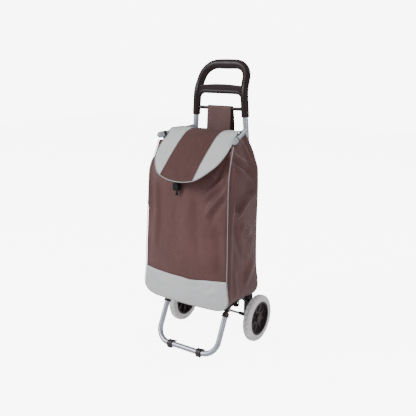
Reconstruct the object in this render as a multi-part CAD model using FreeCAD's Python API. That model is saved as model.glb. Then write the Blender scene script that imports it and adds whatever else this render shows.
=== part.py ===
"""Two-wheeled shopping trolley: a bent steel tube frame with a moulded handle, a fabric bag hung from two
support horns, a fold-back leg stand that clips to the axle, and two spoked wheels with foam tyres.

Millimetres. +Z is up and the bag faces -Y, so the wheels and uprights are at the back. The model is laid out
about the axle: Y = 0 is the axle, X = 0 the middle and Z = 0 the ground. Every solid is moved along Y on export,
so that the origin ends up at the middle of the whole trolley's footprint.
"""

import FreeCAD
import Part

import math
import os

V = FreeCAD.Vector

# ---- driving dimensions --------------------------------------------------------------------------

# wheels and axle
WHEEL_R = 80.0
TYRE_WIDTH = 28.0
TYRE_OUTER_X = 167.5  # outer side wall of a tyre, from the middle
TYRE_SHOULDER = 7.0
TYRE_BEAD = 2.5  # how far in from a side wall the tyre meets the rim
TYRE_EDGE = 1.5
HUB_R = 58.0
HUB_RIM_WALL = 6.0
HUB_WIDTH = 23.0
HUB_WEB = 4.0
HUB_WEB_INSET = 9.0
HUB_HOLES = 8
HUB_HOLE_INNER_R = 23.0
HUB_HOLE_OUTER_R = 44.0
HUB_SPOKE = 7.0
HUB_BOSS_R = 12.0
HUB_BOSS_LENGTH = 21.0
HUB_CAP_R = 15.0
HUB_CAP_WALL = 1.6
AXLE_R = 4.0
RUNNING_CLEARANCE = 0.05
WASHER_R = 8.5
WASHER_T = 1.2
PUSH_NUT_R = 7.0
PUSH_NUT_T = 2.0

# frame tubes
TUBE_R = 9.0
TUBE_WALL = 1.2
ARM_X = 117.0  # the two side tubes at the bottom, from the middle
ARM_Z = 165.0
FRAME_BEND_R = 45.0
TAPER_Z = 470.0  # the uprights lean inwards from here
TAPER_BEND_R = 120.0
HANDLE_X = 95.0  # the uprights at the bottom of the handle
HANDLE_Z = 756.0
TUBE_IN_HANDLE = 38.0
BRACE_R = 7.0
BRACE_Z = 405.0

# wheel brackets
BRACKET_X = (106.0, 128.0)
BRACKET_FOOT_R = 10.8
BRACKET_TOP_Z = 224.0
BRACKET_BACK = 12.0
BRACKET_FRONT = 40.0
BRACKET_NECK = 10.0
BRACKET_NECK_TOP_Z = 134.0
SADDLE_WALL = 3.0
BRACKET_INNER_BOSS = 22.0
INNER_BOSS_R = (5.8, 7.2)  # at its end and at its root
BRACKET_OUTER_BOSS = 6.0
OUTER_BOSS_R = 8.5
RIVET_R = 2.5
RIVET_HEAD_R = 4.5
RIVET_HEAD_T = 1.4

# leg stand
ARM_END_Y = -111.0
KNUCKLE_Y = -135.0
KNUCKLE_Z = 152.0
CROSSBAR_Y = -207.0
CROSSBAR_Z = 12.0
LEG_BEND_R = 50.0
SOCKET_R = 11.5
SOCKET_START = 12.0  # along the leg, from the knuckle pin
SOCKET_END = 26.0
SOCKET_FLANGE_R = 13.0
SOCKET_FLANGE_T = 3.0
LEG_TUBE_START = 15.0
TONGUE_T = 8.0
TONGUE_R = 8.5
EAR_T = 5.0
EAR_GAP = 0.3
PIN_R = 3.0
PIN_HEAD_R = 5.0
PIN_HEAD_T = 1.5
SLEEVE_R = 12.0
SLEEVE_LENGTH = 20.0
SLEEVE_FRONT_WALL = 2.0
STRAP_LUG = 12.0
CLIP_X = 58.0
CLIP_WIDTH = 16.0
CLIP_WALL = 4.5
CLIP_SEAT_CLEARANCE = 0.25
CLIP_LIP = 2.4
CLIP_JAW_DEPTH = 6.0
CLIP_PAD_HALF = 10.0

# support horns
HORN_R = 8.0
HORN_ROOT_Z = 716.0
HORN_TIP = (143.5, -148.0, 697.0)
HORN_CAP_R = 10.0
HORN_CAP_LENGTH = 20.0
LOOP_T = 1.6
LOOP_WIDTH = 10.0

# handle
SOCKET_TUBE_R = 12.5
GRIP_HALF_HEIGHT = 16.0
GRIP_HALF_DEPTH = 12.5
HANDLE_KNEE_Z = 838.0
HANDLE_KNEE_R = 90.0
GRIP_Z = 919.0
GRIP_Y = 42.0
GRIP_CORNER_X = 80.0
GRIP_CORNER_R = 52.0
STRAP_BAR_Z = 780.0
STRAP_BAR_R = 5.5
MID_BAR_TOP_Z = 857.0
MID_BAR_Z = 834.0
MID_BAR_R = 8.0
MID_BAR_CORNER_R = 26.0
MID_BAR_WEB = 12.0

# bag: half width, front Y and back Y at each level, bottom to top
FABRIC = 2.4
BAG_BOTTOM_Z = 179.0
BAG_BACK_Y = -15.0
BAG_LEVELS = (
    # z, half width, front y, back y
    (BAG_BOTTOM_Z, 122.0, -196.0, -40.0),
    (190.0, 140.0, -197.0, -23.5),
    (208.0, 153.0, -198.0, BAG_BACK_Y - 0.5),
    (270.0, 157.0, -198.0, BAG_BACK_Y),
    (580.0, 150.0, -186.0, BAG_BACK_Y),
)
BAG_TOP_FRONT = (140.0, -143.0, 683.0)
BAG_TOP_BACK = (103.0, BAG_BACK_Y, 706.0)
MOUTH_SAG = 30.0
MOUTH_CORNER = (16.0, 20.0)  # how far in from the top corner, and down, the mouth's curve starts
SKIRT_Z = 172.0  # lower edge of the front panel, below the bag's bottom
SKIRT_HALF = 118.0
KICK_TOP_Z = 269.0
PIPING_R = 2.2
BOARD_T = 3.0
BOARD_MARGIN = 4.0
HEM_R = 4.5
DRAWCORD_R = 1.75

# flap
FLAP_T = 2.4
FLAP_HINGE_Y = -18.0
FLAP_HINGE_Z = 708.8
FLAP_FOLD_R = 2.2
FLAP_PROFILE = (  # (y, z) of its underside's middle line
    (-18.0, 710.5),
    (-60.0, 719.0),
    (-112.0, 706.0),
    (-140.0, 688.0),
    (-196.0, 641.0),
    (-250.0, 588.0),
)
FLAP_BACK_HALF = 88.0
FLAP_MID_HALF = 124.0
FLAP_MID_Y = -140.0
FLAP_FRONT_Y = -250.0
FLAP_SEAM_X = 62.0
FLAP_CORNER = 60.0

# hanging strap
STRAP_HALF = 45.0
STRAP_T = 2.0
STRAP_FRONT_FOOT_Z = 704.0
STRAP_BACK_FOOT_Z = 640.0
STRAP_SEWN = 26.0

# drawcord ends and cord lock
CORD_GAP = 0.7  # between the two cord ends
CORD_MIDDLE_X = -20.0
CORD_FRONT_Y = -214.0  # where the ends hang
CORD_BEND = (-184.0, 638.0)
CORD_DROP_Z = 604.0
CORD_END_Z = 536.0
CORD_TIP_R = 2.3
CORD_TIP_LENGTH = 9.0
LOCK_BASE_Z = 543.0
LOCK_HEIGHT = 24.0
LOCK_HALF_DEPTH = 6.5
LOCK_WALL = 1.5
PLUNGER_HALF_HEIGHT = 5.0
PLUNGER_HALF_DEPTH = 3.9
BUTTON_TRAVEL = 2.5
BUTTON_PROUD = 4.0
SPRING_LENGTH = 3.4
SPRING_R = 2.6
SPRING_WIRE_R = 0.3
SLIDE_CLEARANCE = 0.15

ALL = {}


# ---- shared shapes -------------------------------------------------------------------------------


def both_sides(name, shape):
    """Stores a right-hand piece and its mirror image as two nodes."""
    ALL[name + "_right"] = shape
    ALL[name + "_left"] = shape.mirror(V(0, 0, 0), V(1, 0, 0))


def mirrored(shape):
    return shape.mirror(V(0, 0, 0), V(1, 0, 0))


def rounded_path(points, radii):
    """A wire of straight runs through the points, with a tangent arc at each inner point."""
    points = [V(*p) for p in points]
    edges = []
    start = points[0]
    for n in range(1, len(points) - 1):
        corner = points[n]
        back = (points[n - 1] - corner).normalize()
        on = (points[n + 1] - corner).normalize()
        half = back.getAngle(on) / 2
        reach = radii[n - 1] / math.tan(half)
        first = corner + back * reach
        last = corner + on * reach
        middle_way = (back + on).normalize()
        centre = corner + middle_way * (radii[n - 1] / math.sin(half))
        middle = centre - middle_way * radii[n - 1]
        if first.distanceToPoint(start) > 1e-3:
            edges.append(Part.LineSegment(start, first).toShape())
        edges.append(Part.Arc(first, middle, last).toShape())
        start = last
    if points[-1].distanceToPoint(start) > 1e-3:
        edges.append(Part.LineSegment(start, points[-1]).toShape())
    return Part.Wire(edges)


def rod(points, radii, radius):
    """A round bar along a rounded path."""
    path = rounded_path(points, radii)
    first = path.Edges[0]
    start = first.valueAt(first.FirstParameter)
    along = first.tangentAt(first.FirstParameter)
    if (V(*points[0]) - start).Length > 1e-3:
        start = first.valueAt(first.LastParameter)
        along = first.tangentAt(first.LastParameter)
    section = Part.Wire([Part.makeCircle(radius, start, along)])
    return path.makePipeShell([section], True, True)


def tube(points, radii, radius, wall):
    """A hollow round tube along a rounded path."""
    return rod(points, radii, radius).cut(rod(points, radii, radius - wall))


def bar(start, end, radius):
    """A straight round bar between two points."""
    start = V(*start)
    way = V(*end) - start
    return Part.makeCylinder(radius, way.Length, start, way)


def along_x(profile_faces, low, high):
    """Extrudes a face that lies in the YZ plane at X = 0 from low to high."""
    face = profile_faces.copy()
    face.translate(V(low, 0, 0))
    return face.extrude(V(high - low, 0, 0))


def yz_polygon(points):
    corners = [V(0, y, z) for y, z in points]
    return Part.Face(Part.makePolygon(corners + corners[:1]))


def yz_disc(y, z, radius):
    return Part.Face(Part.Wire([Part.makeCircle(radius, V(0, y, z), V(1, 0, 0))]))


def x_ring(x_low, x_high, y, z, outer, inner):
    """A ring or, with inner 0, a disc whose axis is along X."""
    ring = Part.makeCylinder(outer, x_high - x_low, V(x_low, y, z), V(1, 0, 0))
    if inner:
        ring = ring.cut(Part.makeCylinder(inner, x_high - x_low, V(x_low, y, z), V(1, 0, 0)))
    return ring


def upright_x(z):
    """Distance of an upright's centre line from the middle, at a height above the taper."""
    share = (z - TAPER_Z) / (HANDLE_Z - TAPER_Z)
    return ARM_X + (HANDLE_X - ARM_X) * share


# ---- frame tubes ---------------------------------------------------------------------------------

TUBE_TOP_Z = HANDLE_Z + TUBE_IN_HANDLE
SIDE_PATH = (
    (ARM_X, ARM_END_Y, ARM_Z),
    (ARM_X, 0, ARM_Z),
    (ARM_X, 0, TAPER_Z),
    (upright_x(TUBE_TOP_Z), 0, TUBE_TOP_Z),
)
SIDE_BENDS = (FRAME_BEND_R, TAPER_BEND_R)


def side_tubes():
    both_sides("side_tube", tube(SIDE_PATH, SIDE_BENDS, TUBE_R, TUBE_WALL))


def side_tube_space(clearance):
    """The room that a right-hand side tube takes, for cutting seats in the pieces that hold it."""
    return rod(SIDE_PATH, SIDE_BENDS, TUBE_R + clearance)


def cross_brace():
    brace = bar((-ARM_X, 0, BRACE_Z), (ARM_X, 0, BRACE_Z), BRACE_R)
    brace = brace.cut(bar((-ARM_X, 0, BRACE_Z), (ARM_X, 0, BRACE_Z), BRACE_R - TUBE_WALL))
    for side in (-1, 1):
        post = (side * ARM_X, 0, BRACE_Z - 3 * BRACE_R)
        brace = brace.cut(Part.makeCylinder(TUBE_R, 6 * BRACE_R, V(*post)))
    ALL["cross_brace"] = brace


# ---- handle --------------------------------------------------------------------------------------


def arch_section(point, tangent, half_height, half_depth):
    """An oval across the arch, half_height towards its outside and half_depth from front to back."""
    across = V(0, 1, 0).cross(tangent).normalize()
    depth_way = tangent.cross(across).normalize()
    oval = Part.Ellipse(point + across * half_height, point + depth_way * half_depth, point)
    return Part.Wire([oval.toShape()])


def handle():
    """One moulded piece: an arched grip that leans back, a carrying bar below it and a thin strap bar."""
    foot = V(upright_x(HANDLE_Z), 0, HANDLE_Z)
    knee = V(upright_x(HANDLE_KNEE_Z), 0, HANDLE_KNEE_Z)
    corner = V(GRIP_CORNER_X, GRIP_Y, GRIP_Z)

    path = rounded_path([foot, knee, corner, (0, GRIP_Y, GRIP_Z)], [HANDLE_KNEE_R, GRIP_CORNER_R])
    sweep = Part.BRepOffsetAPI.MakePipeShell(path)
    sweep.add(arch_section(foot, knee - foot, SOCKET_TUBE_R + 0.01, SOCKET_TUBE_R), False, False)
    grip_middle = V(0, GRIP_Y, GRIP_Z)
    sweep.add(arch_section(grip_middle, V(-1, 0, 0), GRIP_HALF_HEIGHT, GRIP_HALF_DEPTH), False, False)
    sweep.build()
    sweep.makeSolid()
    half_arch = sweep.shape()
    arch = half_arch.fuse(mirrored(half_arch))

    inset = 5.0
    low_x = upright_x(STRAP_BAR_Z) - inset
    high_x = upright_x(MID_BAR_Z) - inset
    carry = rod(
        [(low_x, 0, STRAP_BAR_Z), (high_x, 2, MID_BAR_Z), (-high_x, 2, MID_BAR_Z), (-low_x, 0, STRAP_BAR_Z)],
        [MID_BAR_CORNER_R, MID_BAR_CORNER_R],
        MID_BAR_R,
    )
    web_x = upright_x(MID_BAR_TOP_Z) - inset
    web_top = Part.Arc(V(-web_x, 0, MID_BAR_TOP_Z - 5), V(0, 0, MID_BAR_TOP_Z), V(web_x, 0, MID_BAR_TOP_Z - 5))
    web_outline = Part.Wire(
        [
            web_top.toShape(),
            Part.LineSegment(V(web_x, 0, MID_BAR_TOP_Z - 5), V(web_x, 0, MID_BAR_Z)).toShape(),
            Part.LineSegment(V(web_x, 0, MID_BAR_Z), V(-web_x, 0, MID_BAR_Z)).toShape(),
            Part.LineSegment(V(-web_x, 0, MID_BAR_Z), V(-web_x, 0, MID_BAR_TOP_Z - 5)).toShape(),
        ]
    )
    web = Part.Face(web_outline).extrude(V(0, MID_BAR_WEB, 0))
    web.translate(V(0, 3 - MID_BAR_WEB / 2, 0))
    top_edges = [e for e in web.Edges if e.BoundBox.ZMin > MID_BAR_TOP_Z - 6 and e.BoundBox.XLength > 50]
    web = web.makeFillet(3.0, top_edges)
    strap_bar = bar((-low_x, 0, STRAP_BAR_Z), (low_x, 0, STRAP_BAR_Z), STRAP_BAR_R)

    whole = arch.fuse([carry, web, strap_bar])
    for side in (1, -1):
        room = side_tube_space(0.1)
        screw = x_ring(0, 200, 0, HANDLE_Z + 16, RIVET_R + 0.1, 0)
        if side < 0:
            room = mirrored(room)
            screw = mirrored(screw)
        whole = whole.cut(room).cut(screw)
    ALL["handle"] = whole.removeSplitter()


def handle_screws():
    """A self-tapping screw through each handle socket into its tube, from the outside."""
    z = HANDLE_Z + 16
    x = upright_x(z)
    shank = x_ring(x + TUBE_R - TUBE_WALL, x + SOCKET_TUBE_R, 0, z, RIVET_R, 0)
    head = Part.makeSphere(RIVET_HEAD_R, V(x + SOCKET_TUBE_R - 2.0, 0, z))
    head = head.common(Part.makeBox(20, 20, 20, V(x + SOCKET_TUBE_R + 0.2, -10, z - 10)))
    screw = shank.fuse(Part.makeCylinder(RIVET_R, 0.6, V(x + SOCKET_TUBE_R - 0.2, 0, z), V(1, 0, 0))).fuse(head)
    hole = x_ring(x - 4, x + 40, 0, z, RIVET_R, 0)
    for name in ("side_tube_right", "side_tube_left"):
        tool = hole if name.endswith("right") else mirrored(hole)
        ALL[name] = ALL[name].cut(tool)
    screws = Part.makeCompound([screw, mirrored(screw)])
    ALL["handle"] = ALL["handle"].cut(screws)
    ALL["handle_screws"] = screws


# ---- wheel brackets, axle and wheels -------------------------------------------------------------


def wheel_brackets():
    """A moulded bracket on each side: a saddle round the tube's bend, a neck and a foot with a boss."""
    low, high = BRACKET_X
    foot = yz_disc(0, WHEEL_R, BRACKET_FOOT_R)
    neck = yz_polygon(
        [
            (-BRACKET_NECK, WHEEL_R),
            (BRACKET_BACK, WHEEL_R),
            (BRACKET_BACK, BRACKET_TOP_Z),
            (-BRACKET_BACK, BRACKET_TOP_Z),
            (-BRACKET_FRONT, ARM_Z + TUBE_R + 3),
            (-BRACKET_FRONT, ARM_Z - TUBE_R - 3),
            (-BRACKET_NECK, BRACKET_NECK_TOP_Z),
        ]
    )
    body = along_x(foot, low, high).fuse(along_x(neck, low, high)).removeSplitter()
    edges = [e for e in body.Edges if e.BoundBox.XLength > high - low - 0.1 and e.BoundBox.ZMin > WHEEL_R + 20]
    body = body.makeFillet(3.0, edges)
    tip_r, root_r = INNER_BOSS_R
    inner_start = V(low - BRACKET_INNER_BOSS, 0, WHEEL_R)
    inner = Part.makeCone(tip_r, root_r, BRACKET_INNER_BOSS, inner_start, V(1, 0, 0))
    outer = x_ring(high, high + BRACKET_OUTER_BOSS, 0, WHEEL_R, OUTER_BOSS_R, 0)
    body = body.fuse([inner, outer]).removeSplitter()
    body = body.cut(side_tube_space(0.1))
    inside_bend = FRAME_BEND_R - TUBE_R - SADDLE_WALL
    body = body.cut(x_ring(low, high, -FRAME_BEND_R, ARM_Z + FRAME_BEND_R, inside_bend, 0))
    body = body.cut(x_ring(0, 200, 0, WHEEL_R, AXLE_R + 0.02, 0))
    body = body.cut(x_ring(0, 200, 0, BRACKET_TOP_Z - 9, RIVET_R, 0))
    both_sides("wheel_bracket", body)


def bracket_rivets():
    """One blind rivet through each bracket and upright, along X."""
    low, high = BRACKET_X
    z = BRACKET_TOP_Z - 9
    shank = x_ring(low, high, 0, z, RIVET_R, 0)
    heads = x_ring(low - RIVET_HEAD_T, low, 0, z, RIVET_HEAD_R, 0).fuse(
        x_ring(high, high + RIVET_HEAD_T, 0, z, RIVET_HEAD_R, 0)
    )
    rivet = shank.fuse(heads).removeSplitter()
    hole = x_ring(low - 5, high + 5, 0, z, RIVET_R, 0)
    ALL["side_tube_right"] = ALL["side_tube_right"].cut(hole)
    ALL["side_tube_left"] = ALL["side_tube_left"].cut(mirrored(hole))
    ALL["bracket_rivets"] = Part.makeCompound([rivet, mirrored(rivet)])


HUB_INNER_X = BRACKET_X[1] + BRACKET_OUTER_BOSS + WASHER_T + 0.3
HUB_OUTER_X = HUB_INNER_X + HUB_BOSS_LENGTH
NUT_X = HUB_OUTER_X + 0.3 + WASHER_T
TYRE_MIDDLE_X = TYRE_OUTER_X - TYRE_WIDTH / 2
HUB_WEB_X = TYRE_MIDDLE_X + HUB_WIDTH / 2 - HUB_WEB_INSET  # outer face of the web


def axle():
    end = NUT_X + PUSH_NUT_T + 1.5
    ALL["axle"] = bar((-end, 0, WHEEL_R), (end, 0, WHEEL_R), AXLE_R)
    washers = []
    for x in (BRACKET_X[1] + BRACKET_OUTER_BOSS, NUT_X - WASHER_T):
        washer = x_ring(x + 0.02, x + WASHER_T - 0.02, 0, WHEEL_R, WASHER_R, AXLE_R + 0.05)
        washers += [washer, mirrored(washer)]
    ALL["axle_washers"] = Part.makeCompound(washers)
    nut = x_ring(NUT_X, NUT_X + PUSH_NUT_T, 0, WHEEL_R, PUSH_NUT_R, AXLE_R)
    ALL["push_nuts"] = Part.makeCompound([nut, mirrored(nut)])


def hub():
    """Spoked hub: a rim channel, a dished web with rounded windows, stiffening ribs and a bored boss."""
    middle = TYRE_MIDDLE_X
    low, high = middle - HUB_WIDTH / 2, middle + HUB_WIDTH / 2
    rim = x_ring(low, high, 0, WHEEL_R, HUB_R, HUB_R - HUB_RIM_WALL)
    web_x = HUB_WEB_X
    web = x_ring(web_x - HUB_WEB, web_x, 0, WHEEL_R, HUB_R - HUB_RIM_WALL + 0.5, 0)
    step = 360.0 / HUB_HOLES
    for n in range(HUB_HOLES):
        wide = HUB_HOLE_OUTER_R * math.radians(step) / 2 - HUB_SPOKE / 2
        thin = HUB_HOLE_INNER_R * math.radians(step) / 2 - HUB_SPOKE / 2
        outer_r, inner_r = HUB_HOLE_OUTER_R, HUB_HOLE_INNER_R
        window = yz_polygon([(-wide, outer_r), (wide, outer_r), (thin, inner_r), (-thin, inner_r)])
        tool = along_x(window, web_x - 2 * HUB_WEB, web_x + HUB_WEB)
        tool = tool.makeFillet(2.6, [e for e in tool.Edges if e.BoundBox.XLength > HUB_WEB])
        tool.rotate(V(0, 0, 0), V(1, 0, 0), n * step)
        tool.translate(V(0, 0, WHEEL_R))
        web = web.cut(tool)
    boss = x_ring(HUB_INNER_X, HUB_OUTER_X, 0, WHEEL_R, HUB_BOSS_R, 0)
    ribs = []
    for n in range(HUB_HOLES):
        rib = Part.makeBox(web_x - low - 2, 2.4, HUB_R - HUB_RIM_WALL - 6, V(low + 2, -1.2, 6))
        rib.rotate(V(0, 0, 0), V(1, 0, 0), (n + 0.5) * step)
        rib.translate(V(0, 0, WHEEL_R))
        ribs.append(rib)
    whole = rim.fuse([web, boss] + ribs)
    whole = whole.cut(x_ring(0, 200, 0, WHEEL_R, AXLE_R + RUNNING_CLEARANCE, 0))
    both_sides("hub", whole.removeSplitter())


def hub_caps():
    """A shallow cap that sits on each hub's web, clear of the push nut and the axle's end."""
    room = NUT_X + PUSH_NUT_T + 2.2
    top = room + HUB_CAP_WALL
    bevel = 2.5
    cap = x_ring(HUB_WEB_X, top - bevel, 0, WHEEL_R, HUB_CAP_R, 0)
    cap = cap.fuse(Part.makeCone(HUB_CAP_R, HUB_CAP_R - 3, bevel, V(top - bevel, 0, WHEEL_R), V(1, 0, 0)))
    cap = cap.cut(x_ring(HUB_WEB_X, room - 2.0, 0, WHEEL_R, HUB_BOSS_R + 0.3, 0))
    cap = cap.cut(x_ring(HUB_WEB_X, room, 0, WHEEL_R, HUB_BOSS_R - 2.0, 0))
    both_sides("hub_cap", cap.removeSplitter())


def tyres():
    """A foam tyre with rounded shoulders, seated round the hub's rim."""
    half = TYRE_WIDTH / 2
    low, high = TYRE_MIDDLE_X - half, TYRE_MIDDLE_X + half
    seat = HUB_R + 0.05
    shoulder = TYRE_SHOULDER
    top = WHEEL_R
    bulge_z = (seat + top) / 2 - 1

    def side(wall, inward):
        """A side wall's outline, from the rim up to the tread."""
        bead = V(wall + inward * TYRE_BEAD, 0, seat)
        edge = V(wall + inward * TYRE_EDGE, 0, top - shoulder)
        lip = V(wall + inward * (shoulder + 2), 0, top)
        wall_arc = Part.Arc(bead, V(wall, 0, bulge_z), edge).toShape()
        edge_arc = Part.Arc(edge, V(wall + inward * 4.2, 0, top - 2.2), lip).toShape()
        return bead, lip, [wall_arc, edge_arc]

    low_bead, low_lip, low_side = side(low, 1)
    high_bead, high_lip, high_side = side(high, -1)
    closing = [Part.LineSegment(low_bead, high_bead).toShape(), Part.LineSegment(low_lip, high_lip).toShape()]
    profile = Part.Wire(Part.__sortEdges__(low_side + high_side + closing))
    ring = Part.Face(profile).revolve(V(0, 0, 0), V(1, 0, 0), 360)
    ring.translate(V(0, 0, WHEEL_R))
    both_sides("tyre", ring)


# ---- leg stand -----------------------------------------------------------------------------------

LEG = V(0, CROSSBAR_Y - KNUCKLE_Y, CROSSBAR_Z - KNUCKLE_Z)
LEG_LENGTH = LEG.Length
LEG_WAY = V(LEG).normalize()
KNUCKLE = V(ARM_X, KNUCKLE_Y, KNUCKLE_Z)

# the jaw's seat lies as far from the knuckle pin as the axle does, so that it meets the axle when the legs fold
SEAT_RADIUS = math.hypot(KNUCKLE_Y, WHEEL_R - KNUCKLE_Z)
SEAT_OFFSET = TUBE_R + CLIP_WALL + AXLE_R + CLIP_SEAT_CLEARANCE


def seat_angle():
    """Angle at the pin, in radians, between the crossbar and the jaw's seat."""
    cosine = (LEG_LENGTH**2 + SEAT_RADIUS**2 - SEAT_OFFSET**2) / (2 * LEG_LENGTH * SEAT_RADIUS)
    return math.acos(cosine)


def leg_angle():
    return math.atan2(LEG.z, LEG.y)


def leg_tube():
    start = KNUCKLE + LEG_WAY * LEG_TUBE_START
    right = (ARM_X, CROSSBAR_Y, CROSSBAR_Z)
    left = (-ARM_X, CROSSBAR_Y, CROSSBAR_Z)
    points = [tuple(start), right, left, (-start.x, start.y, start.z)]
    ALL["leg_tube"] = tube(points, (LEG_BEND_R, LEG_BEND_R), TUBE_R, TUBE_WALL)


def leg_sockets():
    """A moulded socket on each leg's upper end, with a tongue that turns on the knuckle pin."""
    start = KNUCKLE + LEG_WAY * SOCKET_START
    sleeve = Part.makeCylinder(SOCKET_R, SOCKET_END - SOCKET_START, start, LEG_WAY)
    flange_at = KNUCKLE + LEG_WAY * (SOCKET_END - SOCKET_FLANGE_T)
    flange = Part.makeCylinder(SOCKET_FLANGE_R, SOCKET_FLANGE_T, flange_at, LEG_WAY)
    low, high = ARM_X - TONGUE_T / 2, ARM_X + TONGUE_T / 2
    tongue = along_x(yz_disc(KNUCKLE_Y, KNUCKLE_Z, TONGUE_R), low, high)
    across = V(0, LEG_WAY.z, -LEG_WAY.y)
    pin = V(0, KNUCKLE_Y, KNUCKLE_Z)
    deep = pin + LEG_WAY * (SOCKET_START + 1)
    half_stem = across * TONGUE_R
    stem_corners = [pin + half_stem, deep + half_stem, deep - half_stem, pin - half_stem]
    stem = along_x(yz_polygon([(p.y, p.z) for p in stem_corners]), low, high)
    whole = sleeve.fuse([flange, tongue, stem])
    inside = Part.makeCylinder(TUBE_R + 0.05, 40, KNUCKLE + LEG_WAY * LEG_TUBE_START, LEG_WAY)
    whole = whole.cut(inside).cut(x_ring(0, 200, KNUCKLE_Y, KNUCKLE_Z, PIN_R + RUNNING_CLEARANCE, 0))
    both_sides("leg_socket", whole.removeSplitter())


def knuckles():
    """A moulded fork on each arm's front end, with a lug on its outer side for the bag's corner strap."""
    gap = TONGUE_T / 2 + EAR_GAP
    ear = gap + EAR_T
    front = ARM_END_Y - SLEEVE_FRONT_WALL
    sleeve = Part.makeCylinder(SLEEVE_R, SLEEVE_LENGTH, V(ARM_X, front, ARM_Z), V(0, 1, 0))
    cheek = yz_polygon(
        [
            (KNUCKLE_Y - TONGUE_R, KNUCKLE_Z),
            (KNUCKLE_Y - TONGUE_R / 2, ARM_Z + SLEEVE_R / 2),
            (front + 1, ARM_Z + SLEEVE_R),
            (front + 2, ARM_Z - 2),
            (KNUCKLE_Y + 12, KNUCKLE_Z + 8),
            (KNUCKLE_Y + TONGUE_R - 1, KNUCKLE_Z - 4),
        ]
    )
    cheek = cheek.fuse(yz_disc(KNUCKLE_Y, KNUCKLE_Z, TONGUE_R))
    ears = [along_x(cheek, ARM_X - ear, ARM_X - gap), along_x(cheek, ARM_X + gap, ARM_X + ear)]
    lug_x = ARM_X + SLEEVE_R - 2
    lug_z = ARM_Z - SLEEVE_R + 2
    lug_width = SLEEVE_LENGTH - 5
    lug = Part.makeBox(STRAP_LUG, lug_width, 5, V(lug_x, front + 3, lug_z))
    lug = lug.cut(Part.makeBox(STRAP_LUG - 5.2, lug_width - 7, 5, V(lug_x + 2, front + 6.5, lug_z)))
    whole = sleeve.fuse(ears + [lug])
    whole = whole.cut(Part.makeCylinder(TUBE_R + 0.05, 60, V(ARM_X, ARM_END_Y, ARM_Z), V(0, 1, 0)))
    slot = along_x(yz_disc(KNUCKLE_Y, KNUCKLE_Z, TONGUE_R + 0.8), ARM_X - gap, ARM_X + gap)
    whole = whole.cut(slot).cut(x_ring(0, 200, KNUCKLE_Y, KNUCKLE_Z, PIN_R + 0.02, 0))
    both_sides("knuckle", whole.removeSplitter())

    pin = x_ring(ARM_X - ear, ARM_X + ear, KNUCKLE_Y, KNUCKLE_Z, PIN_R, 0)
    for x in (ARM_X - ear - PIN_HEAD_T, ARM_X + ear):
        pin = pin.fuse(x_ring(x, x + PIN_HEAD_T, KNUCKLE_Y, KNUCKLE_Z, PIN_HEAD_R, 0))
    both_sides("knuckle_pin", pin.removeSplitter())


def foot_clips():
    """A moulded clip on each end of the crossbar: a foot pad below, and a jaw behind that snaps on the axle."""
    angle = leg_angle() + seat_angle()
    seat_y = KNUCKLE_Y + SEAT_RADIUS * math.cos(angle)
    seat_z = KNUCKLE_Z + SEAT_RADIUS * math.sin(angle)
    ring_r = TUBE_R + CLIP_WALL
    grip = AXLE_R + CLIP_SEAT_CLEARANCE
    way = V(0, -math.sin(angle), math.cos(angle))  # the way the seat moves as the legs fold
    side = V(0, math.cos(angle), math.sin(angle))
    seat = V(0, seat_y, seat_z)

    def block(back, front, half):
        corners = [seat + way * back - side * half, seat + way * front - side * half]
        corners += [seat + way * front + side * half, seat + way * back + side * half]
        outline = yz_polygon([(p.y, p.z) for p in corners])
        return along_x(outline, CLIP_X - CLIP_WIDTH / 2, CLIP_X + CLIP_WIDTH / 2)

    low, high = CLIP_X - CLIP_WIDTH / 2, CLIP_X + CLIP_WIDTH / 2
    ring = x_ring(low, high, CROSSBAR_Y, CROSSBAR_Z, ring_r, 0)
    pad = yz_polygon(
        [
            (CROSSBAR_Y - CLIP_PAD_HALF, 0),
            (CROSSBAR_Y + CLIP_PAD_HALF, 0),
            (CROSSBAR_Y + ring_r - 1, CLIP_WALL + 3),
            (CROSSBAR_Y - ring_r + 1, CLIP_WALL + 3),
        ]
    )
    jaw = block(-SEAT_OFFSET * 0.75, CLIP_JAW_DEPTH, grip + CLIP_LIP)
    whole = ring.fuse([along_x(pad, low, high), jaw])
    whole = whole.cut(block(0, CLIP_JAW_DEPTH + 1, grip))
    whole = whole.cut(x_ring(low, high, seat_y, seat_z, grip, 0))
    whole = whole.cut(x_ring(low - 1, high + 1, CROSSBAR_Y, CROSSBAR_Z, TUBE_R + 0.05, 0))
    whole = whole.common(Part.makeBox(400, 400, 400, V(-200, CROSSBAR_Y - 200, 0)))
    both_sides("foot_clip", whole.removeSplitter())


# ---- support horns -------------------------------------------------------------------------------

HORN_ROOT = V(upright_x(HORN_ROOT_Z), 0, HORN_ROOT_Z)
HORN_WAY = (V(*HORN_TIP) - HORN_ROOT).normalize()
HORN_LENGTH = (V(*HORN_TIP) - HORN_ROOT).Length


def horns():
    """A tube on each side, coped and welded to its upright, with a cap that keeps the bag's loop on."""
    tube_end = HORN_LENGTH - HORN_CAP_LENGTH + 12
    outer = Part.makeCylinder(HORN_R, tube_end, HORN_ROOT, HORN_WAY)
    inner = Part.makeCylinder(HORN_R - TUBE_WALL, tube_end, HORN_ROOT, HORN_WAY)
    both_sides("support_horn", outer.cut(inner).cut(side_tube_space(0.0)))

    cap_start = HORN_ROOT + HORN_WAY * (HORN_LENGTH - HORN_CAP_LENGTH)
    body = Part.makeCylinder(HORN_CAP_R, HORN_CAP_LENGTH - 6, cap_start, HORN_WAY)
    nose_at = cap_start + HORN_WAY * (HORN_CAP_LENGTH - 6)
    nose = Part.makeCone(HORN_CAP_R, HORN_CAP_R - 4.5, 6, nose_at, HORN_WAY)
    cap = body.fuse(nose).removeSplitter()
    cap = cap.cut(Part.makeCylinder(HORN_R + 0.05, 12, cap_start, HORN_WAY))
    both_sides("horn_cap", cap)


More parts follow.
